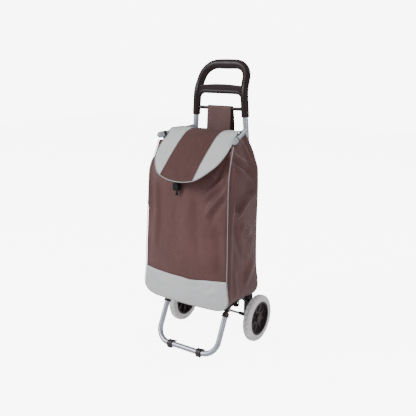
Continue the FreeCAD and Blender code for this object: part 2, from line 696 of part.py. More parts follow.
def horn_loops():
    """A webbing loop round each horn, behind its cap, with a tab that the bag's corner hangs from."""
    at = HORN_ROOT + HORN_WAY * (HORN_LENGTH - HORN_CAP_LENGTH - LOOP_WIDTH - 0.6)
    room = Part.makeCylinder(HORN_R + 0.3, 3 * LOOP_WIDTH, at - HORN_WAY * LOOP_WIDTH, HORN_WAY)
    ring = Part.makeCylinder(HORN_R + 0.3 + LOOP_T, LOOP_WIDTH, at, HORN_WAY)
    middle = at + HORN_WAY * (LOOP_WIDTH / 2)
    front, back = V(*BAG_TOP_FRONT), V(*BAG_TOP_BACK)
    hem = front + (back - front) * ((middle.y - front.y) / (back.y - front.y))
    x = (middle.x + hem.x) / 2
    tab_low = V(x - LOOP_T / 2, middle.y - LOOP_WIDTH / 2, hem.z - 2)
    tab = Part.makeBox(LOOP_T, LOOP_WIDTH, middle.z - hem.z, tab_low)
    ring = ring.fuse(tab).cut(room).cut(ALL["bag_gusset_right"])
    ring = max(ring.Solids, key=lambda s: s.Volume)
    ALL["horn_loops"] = Part.makeCompound([ring, mirrored(ring)])


# ---- bag -----------------------------------------------------------------------------------------

TOP_LEVEL = (BAG_TOP_FRONT, BAG_TOP_BACK)


def ruled_panel(edges, outward):
    """A sheet of fabric through a series of edges, each a pair of points, thickened evenly about them."""
    half = V(*outward).normalize() * (FABRIC / 2)
    wires = []
    for a, b in edges:
        a, b = V(*a), V(*b)
        corners = [a - half, b - half, b + half, a + half]
        wires.append(Part.makePolygon(corners + corners[:1]))
    return Part.makeLoft(wires, True, True)


def bag():
    """Front, back and side panels, the bottom, the grey kick panel and a stiff board inside."""
    side_edges = [((w, front, z), (w, back, z)) for z, w, front, back in BAG_LEVELS]
    side_edges.append(TOP_LEVEL)
    gusset = ruled_panel(side_edges, (1, 0, 0))
    gussets = [gusset, mirrored(gusset)]

    front_edges = [((-w, front, z), (w, front, z)) for z, w, front, back in BAG_LEVELS]
    x, y, z = BAG_TOP_FRONT
    front_edges.append(((-x, y, z), (x, y, z)))
    skirt = [((-SKIRT_HALF, BAG_LEVELS[0][2], SKIRT_Z), (SKIRT_HALF, BAG_LEVELS[0][2], SKIRT_Z))]
    front = ruled_panel(skirt + front_edges, (0, -1, 0))
    back_edges = [((-w, back, z), (w, back, z)) for z, w, front_y, back in BAG_LEVELS]
    x, y, z = BAG_TOP_BACK
    back_edges.append(((-x, y, z), (x, y, z)))
    back = ruled_panel(back_edges, (0, 1, 0))

    # the mouth's front edge sags between the corners
    x, y, z = BAG_TOP_FRONT
    inset, drop = MOUTH_CORNER
    sag = Part.Arc(V(inset - x, 0, z - drop), V(0, 0, z - MOUTH_SAG), V(x - inset, 0, z - drop)).toShape()
    rim = [(x - inset, z - drop), (x + 2, z + 0.5), (x + 2, z + 60)]
    rim += [(-a, b) for a, b in reversed(rim)]
    lid = Part.makePolygon([V(a, 0, b) for a, b in rim])
    above = Part.Face(Part.Wire([sag] + lid.Edges)).extrude(V(0, -300, 0))
    front = front.cut(above)
    for side in gussets:
        front = front.cut(side)
        back = back.cut(side)

    below = Part.makeBox(600, 600, 200, V(-300, -400, KICK_TOP_Z - 200))
    ALL["bag_kick_panel"] = front.common(below)
    ALL["bag_front_panel"] = front.cut(below)
    ALL["bag_back_panel"] = back
    ALL["bag_gusset_right"], ALL["bag_gusset_left"] = gussets

    z, half, front_y, back_y = BAG_LEVELS[0]
    wide = half - FABRIC / 2
    deep = (back_y - FABRIC / 2) - (front_y + FABRIC / 2)
    bottom = Part.makeBox(2 * wide, deep, FABRIC, V(-wide, front_y + FABRIC / 2, z))
    for side in gussets:
        bottom = bottom.cut(side)
    ALL["bag_bottom_panel"] = bottom
    m = BOARD_MARGIN
    board_low = V(-wide + m, front_y + FABRIC / 2 + m, z + FABRIC)
    board = Part.makeBox(2 * (wide - m), deep - 2 * m, BOARD_T, board_low)
    ALL["base_board"] = board


def piping():
    """Grey piping in the seam between the front panel and each gusset."""
    out = FABRIC / 2 + PIPING_R * 0.55
    points = [(w + out, front - out, z) for z, w, front, back in BAG_LEVELS]
    x, y, z = BAG_TOP_FRONT
    points.append((x + out, y - out, z))
    cord = rod(points, (14.0, 20.0, 60.0, 90.0), PIPING_R)
    cord = cord.cut(ALL["bag_gusset_right"])
    cord = cord.cut(ALL["bag_front_panel"]).cut(ALL["bag_kick_panel"])
    both_sides("bag_piping", max(cord.Solids, key=lambda s: s.Volume))


def mouth_slope():
    """How far the front panel comes forward for each millimetre down from the mouth's corners."""
    z, half, front, back = BAG_LEVELS[-1]
    return (front - BAG_TOP_FRONT[1]) / (BAG_TOP_FRONT[2] - z)


def mouth_hem():
    """The rolled hem along the mouth's front edge, the drawcord that runs in it, and its two metal eyelets."""
    x, y, z = BAG_TOP_FRONT
    inset, drop = MOUTH_CORNER
    end_x = x - inset - 1
    end_drop = drop - HEM_R + 1.0

    def hem(radius):
        a = V(-end_x, y + mouth_slope() * end_drop, z - end_drop)
        b = V(0, *hem_centre())
        c = V(end_x, y + mouth_slope() * end_drop, z - end_drop)
        path = Part.Wire([Part.Arc(a, b, c).toShape()])
        edge = path.Edges[0]
        first = edge.valueAt(edge.FirstParameter)
        section = Part.Wire([Part.makeCircle(radius, first, edge.tangentAt(edge.FirstParameter))])
        return path.makePipeShell([section], True, True)

    cloth = hem(HEM_R).cut(hem(DRAWCORD_R + 0.2)).cut(ALL["bag_front_panel"])
    ALL["mouth_hem"] = max(cloth.Solids, key=lambda s: s.Volume)
    ALL["drawcord"] = hem(DRAWCORD_R)


def hanging_strap():
    """A wide fabric strap that loops over the handle's strap bar, with both ends sewn to the bag's back."""
    panel = BAG_BACK_Y + FABRIC / 2
    r_in = STRAP_BAR_R + 0.4
    r_out = r_in + STRAP_T
    bar_z = STRAP_BAR_Z

    def touch(radius, foot_y, foot_z, side):
        """Where the line from a foot meets a circle round the bar, on its front (-1) or back (1)."""
        way = math.atan2(foot_z - bar_z, foot_y)
        at = way + side * math.acos(radius / math.hypot(foot_y, foot_z - bar_z))
        return V(0, radius * math.cos(at), bar_z + radius * math.sin(at))

    front_z, back_z = STRAP_FRONT_FOOT_Z, STRAP_BACK_FOOT_Z
    outside = [V(0, panel, front_z - STRAP_SEWN), V(0, panel, front_z), touch(r_out, panel, front_z, -1)]
    outside += [touch(r_out, panel + STRAP_T, back_z, 1), V(0, panel + STRAP_T, back_z)]
    outside += [V(0, panel + STRAP_T, back_z - STRAP_SEWN)]
    inside = [V(0, panel, back_z - STRAP_SEWN), V(0, panel, back_z), touch(r_in, panel, back_z, 1)]
    inside += [touch(r_in, panel + STRAP_T, front_z, -1), V(0, panel + STRAP_T, front_z)]
    inside += [V(0, panel + STRAP_T, front_z - STRAP_SEWN)]
    edges = []
    for points, radius in ((outside, r_out), (inside, r_in)):
        edges += Part.makePolygon(points[:3]).Edges + Part.makePolygon(points[3:]).Edges
        edges.append(Part.Arc(points[2], V(0, 0, bar_z + radius), points[3]).toShape())
    edges.append(Part.LineSegment(outside[-1], inside[0]).toShape())
    edges.append(Part.LineSegment(inside[-1], outside[0]).toShape())
    outline = Part.Wire(Part.__sortEdges__(edges))
    ALL["hanging_strap"] = along_x(Part.Face(outline), -STRAP_HALF, STRAP_HALF)


def back_loops():
    """A fabric loop round each upright, sewn to the bag's back panel."""
    inner = TUBE_R + 0.3
    outer = inner + LOOP_T
    z, height = 300.0, 30.0
    back = BAG_BACK_Y + FABRIC / 2
    ring = Part.makeCylinder(outer, height, V(ARM_X, 0, z))
    tab = Part.makeBox(16, -back - 7, height, V(ARM_X - 8, back, z))
    loop = ring.fuse(tab).cut(Part.makeCylinder(inner, height, V(ARM_X, 0, z)))
    loop = loop.cut(ALL["bag_back_panel"])
    loop = max(loop.Solids, key=lambda s: s.Volume)
    ALL["back_loops"] = Part.makeCompound([loop, mirrored(loop)])


def corner_straps():
    """A webbing loop from each knuckle's lug to the bag's front bottom corner."""
    front = ARM_END_Y - SLEEVE_FRONT_WALL
    low = V(ARM_X + SLEEVE_R - 2 + STRAP_LUG - 1.6, 0, ARM_Z - SLEEVE_R + 4.5)
    corner = V(BAG_LEVELS[1][1] - 4, 0, BAG_LEVELS[1][0] - 2)
    half = 3.8
    y_low, y_high = front + 7, front + SLEEVE_LENGTH - 6
    way = (corner - low).normalize()
    side = V(way.z, 0, -way.x)
    length = (corner - low).Length

    def outline(inset):
        near, far = -(half - inset), length - inset
        offsets = ((near, near), (near, -near), (far, -near), (far, near))
        corners = [low + way * a + side * b for a, b in offsets]
        corners = [V(p.x, y_low, p.z) for p in corners]
        return Part.Face(Part.makePolygon(corners + corners[:1])).extrude(V(0, y_high - y_low, 0))

    loop = outline(0.0).cut(outline(1.4))
    for name in ("bag_gusset_right", "bag_bottom_panel", "knuckle_right"):
        loop = loop.cut(ALL[name])
    loop = max(loop.Solids, key=lambda s: s.Volume)
    ALL["corner_straps"] = Part.makeCompound([loop, mirrored(loop)])


# ---- flap ----------------------------------------------------------------------------------------


def flap_sheet(lower, upper):
    """A sheet that follows the flap's side profile, from lower to upper millimetres above its underside."""

    def offset_line(height):
        moved = []
        count = len(FLAP_PROFILE)
        for n, (y, z) in enumerate(FLAP_PROFILE):
            before = FLAP_PROFILE[max(0, n - 1)]
            after = FLAP_PROFILE[min(count - 1, n + 1)]
            run, rise = before[0] - after[0], before[1] - after[1]
            size = math.hypot(run, rise)
            moved.append(V(0, y - rise / size * height, z + run / size * height))
        line = Part.BSplineCurve()
        line.interpolate(moved)
        return line.toShape(), moved[0], moved[-1]

    below, below_back, below_front = offset_line(lower - FLAP_T)
    above, above_back, above_front = offset_line(upper - FLAP_T)
    front_end = Part.LineSegment(below_front, above_front).toShape()
    back_end = Part.LineSegment(above_back, below_back).toShape()
    ends = [front_end, back_end]
    face = Part.Face(Part.Wire(Part.__sortEdges__([below, above] + ends)))
    return along_x(face, -200, 200)


def flap_outline(inset):
    """The flap seen from above, as a tall prism. It is narrow between the horns and has a rounded front."""
    back, middle = FLAP_BACK_HALF - inset, FLAP_MID_HALF - inset
    front = FLAP_FRONT_Y + inset
    shoulder = FLAP_MID_Y - 30
    flat = middle - FLAP_CORNER
    right = V(middle, shoulder, 0)
    front_right = V(flat, front + 2, 0)
    bulge = V(middle - FLAP_CORNER * 0.22, front + (shoulder - front) * 0.32, 0)
    edges = [
        Part.LineSegment(V(-back, FLAP_HINGE_Y, 0), V(back, FLAP_HINGE_Y, 0)).toShape(),
        Part.LineSegment(V(back, FLAP_HINGE_Y, 0), V(middle, FLAP_MID_Y, 0)).toShape(),
        Part.LineSegment(V(middle, FLAP_MID_Y, 0), right).toShape(),
        Part.Arc(right, bulge, front_right).toShape(),
        Part.Arc(front_right, V(0, front, 0), V(-flat, front + 2, 0)).toShape(),
        Part.Arc(V(-flat, front + 2, 0), V(-bulge.x, bulge.y, 0), V(-middle, shoulder, 0)).toShape(),
        Part.LineSegment(V(-middle, shoulder, 0), V(-middle, FLAP_MID_Y, 0)).toShape(),
        Part.LineSegment(V(-middle, FLAP_MID_Y, 0), V(-back, FLAP_HINGE_Y, 0)).toShape(),
    ]
    prism = Part.Face(Part.Wire(edges)).extrude(V(0, 0, 400))
    prism.translate(V(0, 0, 450))
    return prism


def flap():
    """Three sewn panels, edge piping, and the fold along the back edge that the flap turns on."""
    edge_width = 3.0
    sheet = flap_sheet(0, FLAP_T)
    inside = sheet.common(flap_outline(edge_width))
    middle_box = Part.makeBox(2 * FLAP_SEAM_X, 400, 900, V(-FLAP_SEAM_X, -400, 0))
    right_box = Part.makeBox(400, 400, 900, V(FLAP_SEAM_X, -400, 0))
    ALL["flap_centre_panel"] = inside.common(middle_box)
    both_sides("flap_side_panel", inside.common(right_box))
    rim = flap_sheet(-0.8, FLAP_T + 0.8).common(flap_outline(0)).cut(flap_outline(edge_width))
    fold = x_ring(-FLAP_BACK_HALF, FLAP_BACK_HALF, FLAP_HINGE_Y, FLAP_HINGE_Z, FLAP_FOLD_R, 0)
    fold = fold.cut(sheet).cut(rim)
    ALL["flap_piping"] = rim
    ALL["flap_fold"] = max(fold.Solids, key=lambda s: s.Volume)


# ---- drawcord ends and cord lock -----------------------------------------------------------------

CORD_X = DRAWCORD_R + CORD_GAP / 2


def hem_centre():
    """Middle of the hem's roll at the mouth's lowest point, as (y, z)."""
    x, y, z = BAG_TOP_FRONT
    return y + mouth_slope() * (MOUTH_SAG - HEM_R + 1.0), z - MOUTH_SAG + HEM_R - 1.0


def cord_route(x):
    """Where one cord end runs: forward out of the hem, down under the flap and through the cord lock."""
    y, z = hem_centre()
    return [
        (x, y, z),
        (x, CORD_BEND[0], CORD_BEND[1]),
        (x, CORD_FRONT_Y, CORD_DROP_Z),
        (x, CORD_FRONT_Y, CORD_END_Z),
    ]


def route_radii(points):
    """Each arc's radius: 0.45 of the shorter run beside it, over the tangent of half the turn."""
    radii = []
    points = [V(*p) for p in points]
    for a, b, c in zip(points, points[1:], points[2:]):
        turn = (b - a).getAngle(c - b)
        shorter = min((b - a).Length, (c - b).Length)
        radii.append(0.45 * shorter / math.tan(turn / 2))
    return radii


def cord_ends():
    """The drawcord's two ends, each with a moulded tip, and the metal eyelet they leave the hem by."""
    tips = []
    for name, x in (("cord_end_left", CORD_MIDDLE_X - CORD_X), ("cord_end_right", CORD_MIDDLE_X + CORD_X)):
        points = cord_route(x)
        radii = route_radii(points)
        cord = rod(points, radii, DRAWCORD_R)
        cord = cord.cut(ALL["mouth_hem"]).cut(ALL["drawcord"])
        ALL[name] = max(cord.Solids, key=lambda s: s.Volume)
        tip = Part.makeCylinder(CORD_TIP_R, CORD_TIP_LENGTH, V(x, CORD_FRONT_Y, CORD_END_Z - CORD_TIP_LENGTH))
        tips.append(tip.makeFillet(1.0, [tip.Edges[0], tip.Edges[2]]))
    ALL["cord_tips"] = Part.makeCompound(tips)

    y, z = hem_centre()
    start = V(0, y, z)
    way = (V(0, *CORD_BEND) - start).normalize()
    face = start + way * (HEM_R - 0.6)

    def oblong(radius, depth):
        shape = Part.makeBox(2 * CORD_X, 2 * radius, depth, V(-CORD_X, -radius, 0))
        for x in (-CORD_X, CORD_X):
            shape = shape.fuse(Part.makeCylinder(radius, depth, V(x, 0, 0)))
        shape.rotate(V(0, 0, 0), V(1, 0, 0), math.degrees(math.atan2(-way.y, way.z)))
        shape.translate(V(CORD_MIDDLE_X, face.y, face.z))
        return shape

    eyelet = oblong(DRAWCORD_R + 2.4, 1.4).cut(oblong(DRAWCORD_R + 0.1, 1.4))
    eyelet = eyelet.cut(bar((-100, y, z), (100, y, z), HEM_R)).cut(ALL["bag_front_panel"])
    ALL["cord_eyelet"] = max(eyelet.Solids, key=lambda s: s.Volume)


def cord_lock():
    """A spring cord lock: both cords run down through the body and through a window in the sprung plunger."""
    y = CORD_FRONT_Y
    middle_z = LOCK_BASE_Z + LOCK_HEIGHT / 2
    window_low = CORD_MIDDLE_X - CORD_X - DRAWCORD_R - SLIDE_CLEARANCE
    window_high = CORD_MIDDLE_X + CORD_X + DRAWCORD_R + BUTTON_TRAVEL + SLIDE_CLEARANCE
    plunger_low = window_low - LOCK_WALL
    cavity_low = plunger_low - SPRING_LENGTH
    body_low = cavity_low - LOCK_WALL
    body_high = window_high + LOCK_WALL + 0.5

    def block(x_low, x_high, half_y, half_z):
        corner = V(x_low, y - half_y, middle_z - half_z)
        return Part.makeBox(x_high - x_low, 2 * half_y, 2 * half_z, corner)

    body = block(body_low, body_high, LOCK_HALF_DEPTH, LOCK_HEIGHT / 2)
    body = body.makeFillet(4.0, [e for e in body.Edges if e.BoundBox.YLength > 2 * LOCK_HALF_DEPTH - 0.1])
    clear = SLIDE_CLEARANCE
    body = body.cut(block(cavity_low, body_high + 1, PLUNGER_HALF_DEPTH + clear, PLUNGER_HALF_HEIGHT + clear))
    cord_low = CORD_MIDDLE_X - CORD_X - DRAWCORD_R - 0.2
    cord_high = CORD_MIDDLE_X + CORD_X + DRAWCORD_R + 0.2
    body = body.cut(block(cord_low, cord_high, DRAWCORD_R + 0.2, LOCK_HEIGHT))
    ALL["cord_lock_body"] = body.removeSplitter()

    button = block(plunger_low, body_high + BUTTON_PROUD, PLUNGER_HALF_DEPTH, PLUNGER_HALF_HEIGHT)
    head = [e for e in button.Edges if e.BoundBox.XMin > body_high + BUTTON_PROUD - 0.1]
    button = button.makeFillet(1.2, head)
    button = button.cut(block(window_low, window_high, DRAWCORD_R + 0.2, LOCK_HEIGHT))
    ALL["cord_lock_button"] = button

    turns = 3
    free = SPRING_LENGTH - 2 * SPRING_WIRE_R
    helix = Part.makeHelix(free / turns, free, SPRING_R)
    section = Part.Wire([Part.makeCircle(SPRING_WIRE_R, V(SPRING_R, 0, 0), V(0, 1, 0))])
    spring = Part.Wire(helix.Edges).makePipeShell([section], True, True)
    spring.rotate(V(0, 0, 0), V(0, 1, 0), 90)
    spring.translate(V(cavity_low + SPRING_WIRE_R, y, middle_z))
    ALL["cord_lock_spring"] = spring


# ---- export --------------------------------------------------------------------------------------


def main():
    side_tubes()
    cross_brace()
    handle()
    handle_screws()
    wheel_brackets()
    bracket_rivets()
    axle()
    hub()
    hub_caps()
    tyres()
    leg_tube()
    leg_sockets()
    knuckles()
    foot_clips()
    horns()
    bag()
    horn_loops()
    piping()
    mouth_hem()
    hanging_strap()
    back_loops()
    corner_straps()
    flap()
    cord_ends()
    cord_lock()
    shift = -(WHEEL_R + FLAP_FRONT_Y) / 2
    os.makedirs("parts", exist_ok=True)
    for name, shape in ALL.items():
        shape = shape.copy()
        shape.translate(V(0, shift, 0))
        if not shape.isValid() or not shape.Solids:
            print("not valid:", name)
        shape.exportStep("parts/%s.step" % name)


main()
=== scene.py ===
"""The looks of a two-wheeled shopping trolley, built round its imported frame.

Metres, +Z up, and the bag faces -Y.
"""

import math

import bmesh
import bpy
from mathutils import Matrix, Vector, noise


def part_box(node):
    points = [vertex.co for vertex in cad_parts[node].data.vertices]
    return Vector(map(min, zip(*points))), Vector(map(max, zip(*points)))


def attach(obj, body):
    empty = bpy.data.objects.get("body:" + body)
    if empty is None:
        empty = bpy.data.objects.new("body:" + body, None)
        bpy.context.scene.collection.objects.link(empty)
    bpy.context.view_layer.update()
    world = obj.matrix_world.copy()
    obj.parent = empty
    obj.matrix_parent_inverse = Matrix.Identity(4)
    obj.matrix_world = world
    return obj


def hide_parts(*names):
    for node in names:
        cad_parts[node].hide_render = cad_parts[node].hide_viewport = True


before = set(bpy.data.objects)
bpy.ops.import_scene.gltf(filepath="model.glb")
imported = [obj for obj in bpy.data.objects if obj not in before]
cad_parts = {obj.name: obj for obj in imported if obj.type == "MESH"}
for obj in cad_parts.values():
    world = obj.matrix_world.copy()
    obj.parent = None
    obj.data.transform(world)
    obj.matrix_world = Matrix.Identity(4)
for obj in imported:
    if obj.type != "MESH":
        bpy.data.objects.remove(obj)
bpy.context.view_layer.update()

# ---- camera, lights and floor ------------------------------------------------------------------
# The trolley stands on a plain white floor in a bright studio tent. The camera looks down on it
# a little, from in front and to its right, with a longish lens.

AXLE_Y = (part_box("axle")[0].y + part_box("axle")[1].y) / 2
AXLE_Z = (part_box("axle")[0].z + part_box("axle")[1].z) / 2

camera_data = bpy.data.cameras.new("camera")
camera_data.sensor_width = 36.0
camera_data.lens = 51.9
camera = bpy.data.objects.new("camera", camera_data)
camera.location = (1.071, AXLE_Y - 1.6575, 0.9519)
camera.rotation_euler = (math.radians(90 - 14.44), 0.0, math.radians(34.03))
bpy.context.collection.objects.link(camera)
bpy.context.scene.camera = camera


def softbox(name, place, aim, size, power):
    """A square area light that points at aim."""
    light = bpy.data.lights.new(name, "AREA")
    light.shape = "SQUARE"
    light.size = size
    light.energy = power
    lamp = bpy.data.objects.new(name, light)
    lamp.location = place
    lamp.rotation_euler = (Vector(aim) - Vector(place)).to_track_quat("-Z", "Y").to_euler()
    bpy.context.collection.objects.link(lamp)


softbox("key_light", (-1.7, -2.5, 2.3), (0, 0, 0.4), 1.3, 118)
softbox("fill_light", (2.6, -0.9, 1.2), (0, 0, 0.4), 1.4, 17)
softbox("rim_light", (0.8, 2.4, 2.4), (0, 0, 0.5), 1.6, 26)

# The camera sees the world and the floor as white, while they light the trolley only softly.
TENT_LIGHT = 0.62
TENT_SEEN = 8.0
FLOOR_SEEN = 7.0

world = bpy.data.worlds.new("studio_tent")
bpy.context.scene.world = world
world.use_nodes = True
tent = world.node_tree.nodes["Background"]
tent.inputs["Color"].default_value = (1.0, 1.0, 1.0, 1.0)
tent_seen = world.node_tree.nodes.new("ShaderNodeLightPath")
tent_power = world.node_tree.nodes.new("ShaderNodeMapRange")
tent_power.inputs["To Min"].default_value = TENT_LIGHT
tent_power.inputs["To Max"].default_value = TENT_SEEN
world.node_tree.links.new(tent_seen.outputs["Is Camera Ray"], tent_power.inputs["Value"])
world.node_tree.links.new(tent_power.outputs["Result"], tent.inputs["Strength"])


def new_piece(name, shape):
    """Turns a finished bmesh into an object in the scene."""
    mesh = bpy.data.meshes.new(name)
    shape.to_mesh(mesh)
    shape.free()
    piece = bpy.data.objects.new(name, mesh)
    bpy.context.collection.objects.link(piece)
    return piece


floor_shape = bmesh.new()
bmesh.ops.create_grid(floor_shape, x_segments=1, y_segments=1, size=6.0)
floor = new_piece("studio_floor", floor_shape)

floor_paint = bpy.data.materials.new("floor_paint")
floor_paint.use_nodes = True
floor_surface = floor_paint.node_tree.nodes["Principled BSDF"]
floor_surface.inputs["Base Color"].default_value = (0.93, 0.93, 0.93, 1.0)
floor_surface.inputs["Roughness"].default_value = 0.7
floor_surface.inputs["Emission Color"].default_value = (1.0, 1.0, 1.0, 1.0)
floor_seen = floor_paint.node_tree.nodes.new("ShaderNodeLightPath")
floor_glow = floor_paint.node_tree.nodes.new("ShaderNodeMath")
floor_glow.operation = "MULTIPLY"
floor_glow.inputs[1].default_value = FLOOR_SEEN
floor_paint.node_tree.links.new(floor_seen.outputs["Is Camera Ray"], floor_glow.inputs[0])
floor_paint.node_tree.links.new(floor_glow.outputs[0], floor_surface.inputs["Emission Strength"])
floor.data.materials.append(floor_paint)


# ---- drawcord ends -----------------------------------------------------------------------------
# Two ends of a limp 3.5 mm braided cord come out of the mouth's hem through a metal eyelet,
# drop under the flap, and hang straight through the cord lock. Each is about 145 mm long and
# ends in a moulded tip.

CORD_RADIUS = 0.00175
CORD_SIDES = {"cord_end_left": -0.0221, "cord_end_right": -0.0179}
CORD_ROUTE = (  # (y from the axle, z)
    (-0.15361, 0.6565),
    (-0.184, 0.638),
    (-0.214, 0.604),
    (-0.214, 0.536),
)


class Nodes:
    """A short way to write a node tree: each call adds a node and links or sets its inputs."""

    def __init__(self, tree):
        self.tree = tree

    def add(self, kind, settings=None, **inputs):
        node = self.tree.nodes.new(kind)
        for key, value in (settings or {}).items():
            setattr(node, key, value)
        for key, value in inputs.items():
            by_number = key[0] == "i" and key[1:].isdigit()
            socket = node.inputs[int(key[1:]) if by_number else key.replace("_", " ")]
            if isinstance(value, bpy.types.NodeSocket):
                self.tree.links.new(value, socket)
            else:
                socket.default_value = value
        return node

    def math(self, operation, a, b=0.0, c=0.0):
        return self.add("ShaderNodeMath", {"operation": operation}, i0=a, i1=b, i2=c).outputs[0]

    def mix(self, share, a, b):
        node = self.add("ShaderNodeMix", {"data_type": "RGBA"})
        for index, value in ((0, share), (6, a), (7, b)):
            if isinstance(value, bpy.types.NodeSocket):
                self.tree.links.new(value, node.inputs[index])
            else:
                node.inputs[index].default_value = value
        return node.outputs[2]

    def ramp(self, value, low, high):
        """Maps low..high onto 0..1, clamped."""
        node = self.add("ShaderNodeMapRange", {"clamp": True}, Value=value)
        node.inputs["From Min"].default_value = low
        node.inputs["From Max"].default_value = high
        return node.outputs["Result"]


def new_group(name, takes, gives):
    """A shader node group. Returns its tree, its input node and its output node."""
    tree = bpy.data.node_groups.new(name, "ShaderNodeTree")
    for socket, kind, value in takes:
        made = tree.interface.new_socket(socket, in_out="INPUT", socket_type=kind)
        if value is not None:
            made.default_value = value
    for socket, kind in gives:
        tree.interface.new_socket(socket, in_out="OUTPUT", socket_type=kind)
    return tree, tree.nodes.new("NodeGroupInput"), tree.nodes.new("NodeGroupOutput")


def new_material(name, colour, roughness):
    """A material with a Principled BSDF. Returns the material, its Nodes and the shader."""
    material = bpy.data.materials.new(name)
    material.use_nodes = True
    nodes = Nodes(material.node_tree)
    shader = material.node_tree.nodes["Principled BSDF"]
    shader.inputs["Base Color"].default_value = (*colour, 1.0)
    shader.inputs["Roughness"].default_value = roughness
    return material, nodes, shader


FLOAT, VECTOR = "NodeSocketFloat", "NodeSocketVector"

# Weave: threads over and under each other. The pattern follows a UV map that is in metres.
weave, weave_in, weave_out = new_group(
    "weave",
    [("UV", VECTOR, None), ("Pitch", FLOAT, 0.001), ("Slant", FLOAT, 0.0)],
    [("Height", FLOAT), ("Gap", FLOAT)],
)
w = Nodes(weave)
uv = w.add("ShaderNodeSeparateXYZ", None, Vector=weave_in.outputs["UV"])
slanted = w.math("MULTIPLY_ADD", uv.outputs["Y"], weave_in.outputs["Slant"], uv.outputs["X"])
warp_at = w.math("DIVIDE", slanted, weave_in.outputs["Pitch"])
weft_at = w.math("DIVIDE", uv.outputs["Y"], weave_in.outputs["Pitch"])
warp = w.math("ABSOLUTE", w.math("SINE", w.math("MULTIPLY", warp_at, math.pi)))
weft = w.math("ABSOLUTE", w.math("SINE", w.math("MULTIPLY", weft_at, math.pi)))
cell = w.math("ADD", w.math("FLOOR", warp_at), w.math("FLOOR", weft_at))
over = w.math("MODULO", w.math("ABSOLUTE", cell), 2.0)
warp_high = w.math("MULTIPLY", warp, w.math("MULTIPLY_ADD", weft, 0.5, 0.5))
weft_high = w.math("MULTIPLY", weft, w.math("MULTIPLY_ADD", warp, 0.5, 0.5))
warp_seen = w.math("MULTIPLY", warp_high, over)
weft_seen = w.math("MULTIPLY", weft_high, w.math("SUBTRACT", 1.0, over))
thread = w.math("ADD", warp_seen, weft_seen)
weave.links.new(thread, weave_out.inputs["Height"])
# Gap marks the hollows between threads, where the cloth paints shade.
weave.links.new(w.math("SUBTRACT", 1.0, thread), weave_out.inputs["Gap"])


STITCH_PITCH = 0.0034
STITCH_HALF = 0.0006  # half the width of the sewing thread
STITCH_SHARE = 0.72  # of the pitch, where the thread shows


def cloth_material(name, colour, pitch, sheen, fade=0.12, slant=0.0, depth=0.25, stitches=()):
    """Woven, coated cloth: thread relief, painted shade in the gaps between threads, broad fading and a
    soft sheen.
    stitches are the heights, in the UV map, of rows of sewing thread."""
    material, n, shader = new_material(name, colour, 0.5)
    uv_map = n.add("ShaderNodeUVMap", {"uv_map": "UVMap"}).outputs[0]
    place = n.add("ShaderNodeTexCoord").outputs["Object"]
    threads = n.add("ShaderNodeGroup", {"node_tree": weave}, UV=uv_map, Pitch=pitch, Slant=slant)
    broad = n.add("ShaderNodeTexNoise", None, Vector=place, Scale=9.0, Detail=3.0).outputs["Fac"]
    fine = n.add("ShaderNodeTexNoise", None, Vector=place, Scale=420.0, Detail=2.0).outputs["Fac"]
    light = tuple(min(1.0, c * (1 + fade)) for c in colour) + (1.0,)
    dark = tuple(c * (1 - fade) for c in colour) + (1.0,)
    base = n.mix(n.ramp(broad, 0.35, 0.65), dark, light)
    # Painted shade: the colour is darkened in the gaps between threads, where the threads shade each other.
    gap = tuple(c * 0.60 for c in colour) + (1.0,)
    base = n.mix(n.math("MULTIPLY", threads.outputs["Gap"], 0.35), base, gap)
    height = n.math("MULTIPLY_ADD", fine, 0.35, threads.outputs["Height"])
    place_uv = n.add("ShaderNodeSeparateXYZ", None, Vector=uv_map)
    for row in stitches:
        beside = n.math("ABSOLUTE", n.math("SUBTRACT", place_uv.outputs["Y"], row))
        near = n.math("LESS_THAN", beside, STITCH_HALF)
        stitch = n.math("FRACT", n.math("DIVIDE", place_uv.outputs["X"], STITCH_PITCH))
        dash = n.math("LESS_THAN", stitch, STITCH_SHARE)
        thread = n.math("MULTIPLY", near, dash)
        pale = tuple(min(1.0, c * 1.25 + 0.01) for c in colour) + (1.0,)
        base = n.mix(thread, base, pale)
        height = n.math("MULTIPLY_ADD", thread, 1.6, n.math("MULTIPLY_ADD", near, -0.8, height))
    material.node_tree.links.new(base, shader.inputs["Base Color"])
    rough = n.math("MULTIPLY_ADD", fine, 0.14, n.math("MULTIPLY_ADD", broad, 0.10, 0.36))
    material.node_tree.links.new(rough, shader.inputs["Roughness"])
    bump = n.add("ShaderNodeBump", None, Height=height, Strength=depth, Distance=0.0004)
    material.node_tree.links.new(bump.outputs[0], shader.inputs["Normal"])
    shader.inputs["Specular IOR Level"].default_value = 0.22
    shader.inputs["Sheen Weight"].default_value = sheen
    shader.inputs["Sheen Roughness"].default_value = 0.45
    return material


BROWN = (0.096, 0.0435, 0.0415)
cord_braid = cloth_material("cord_braid", (0.010, 0.007, 0.007), 0.0007, 0.25, slant=0.6, depth=0.7)


def smooth_line(name, points, radius, closed=False):
    """A round cord along a smooth curve whose control points are given."""
    data = bpy.data.curves.new(name, "CURVE")
    data.dimensions = "3D"
    spline = data.splines.new("NURBS")
    spline.points.add(len(points) - 1)
    for point, place in zip(spline.points, points):
        point.co = (*place, 1.0)
    spline.order_u = 3
    spline.use_endpoint_u = not closed
    spline.use_cyclic_u = closed
    data.resolution_u = 8
    data.bevel_depth = radius
    data.bevel_resolution = 3
    data.use_fill_caps = True
    line = bpy.data.objects.new(name, data)
    bpy.context.collection.objects.link(line)
    return line


for node, x in CORD_SIDES.items():
    route = [(x, AXLE_Y + y, z) for y, z in CORD_ROUTE]
    piece = smooth_line(node.replace("cord_end", "drawcord_tail"), route, CORD_RADIUS)
    piece.data.materials.append(cord_braid)
    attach(piece, "frame")
    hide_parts(node)


# ---- bag ---------------------------------------------------------------------------------------
# One sewn shell of coated polyester: a front panel, two gussets, a back and a bottom. It hangs
# by its front corners from the horns and by a strap from the handle, so it sags into folds
# below the corners and fills out lower down.

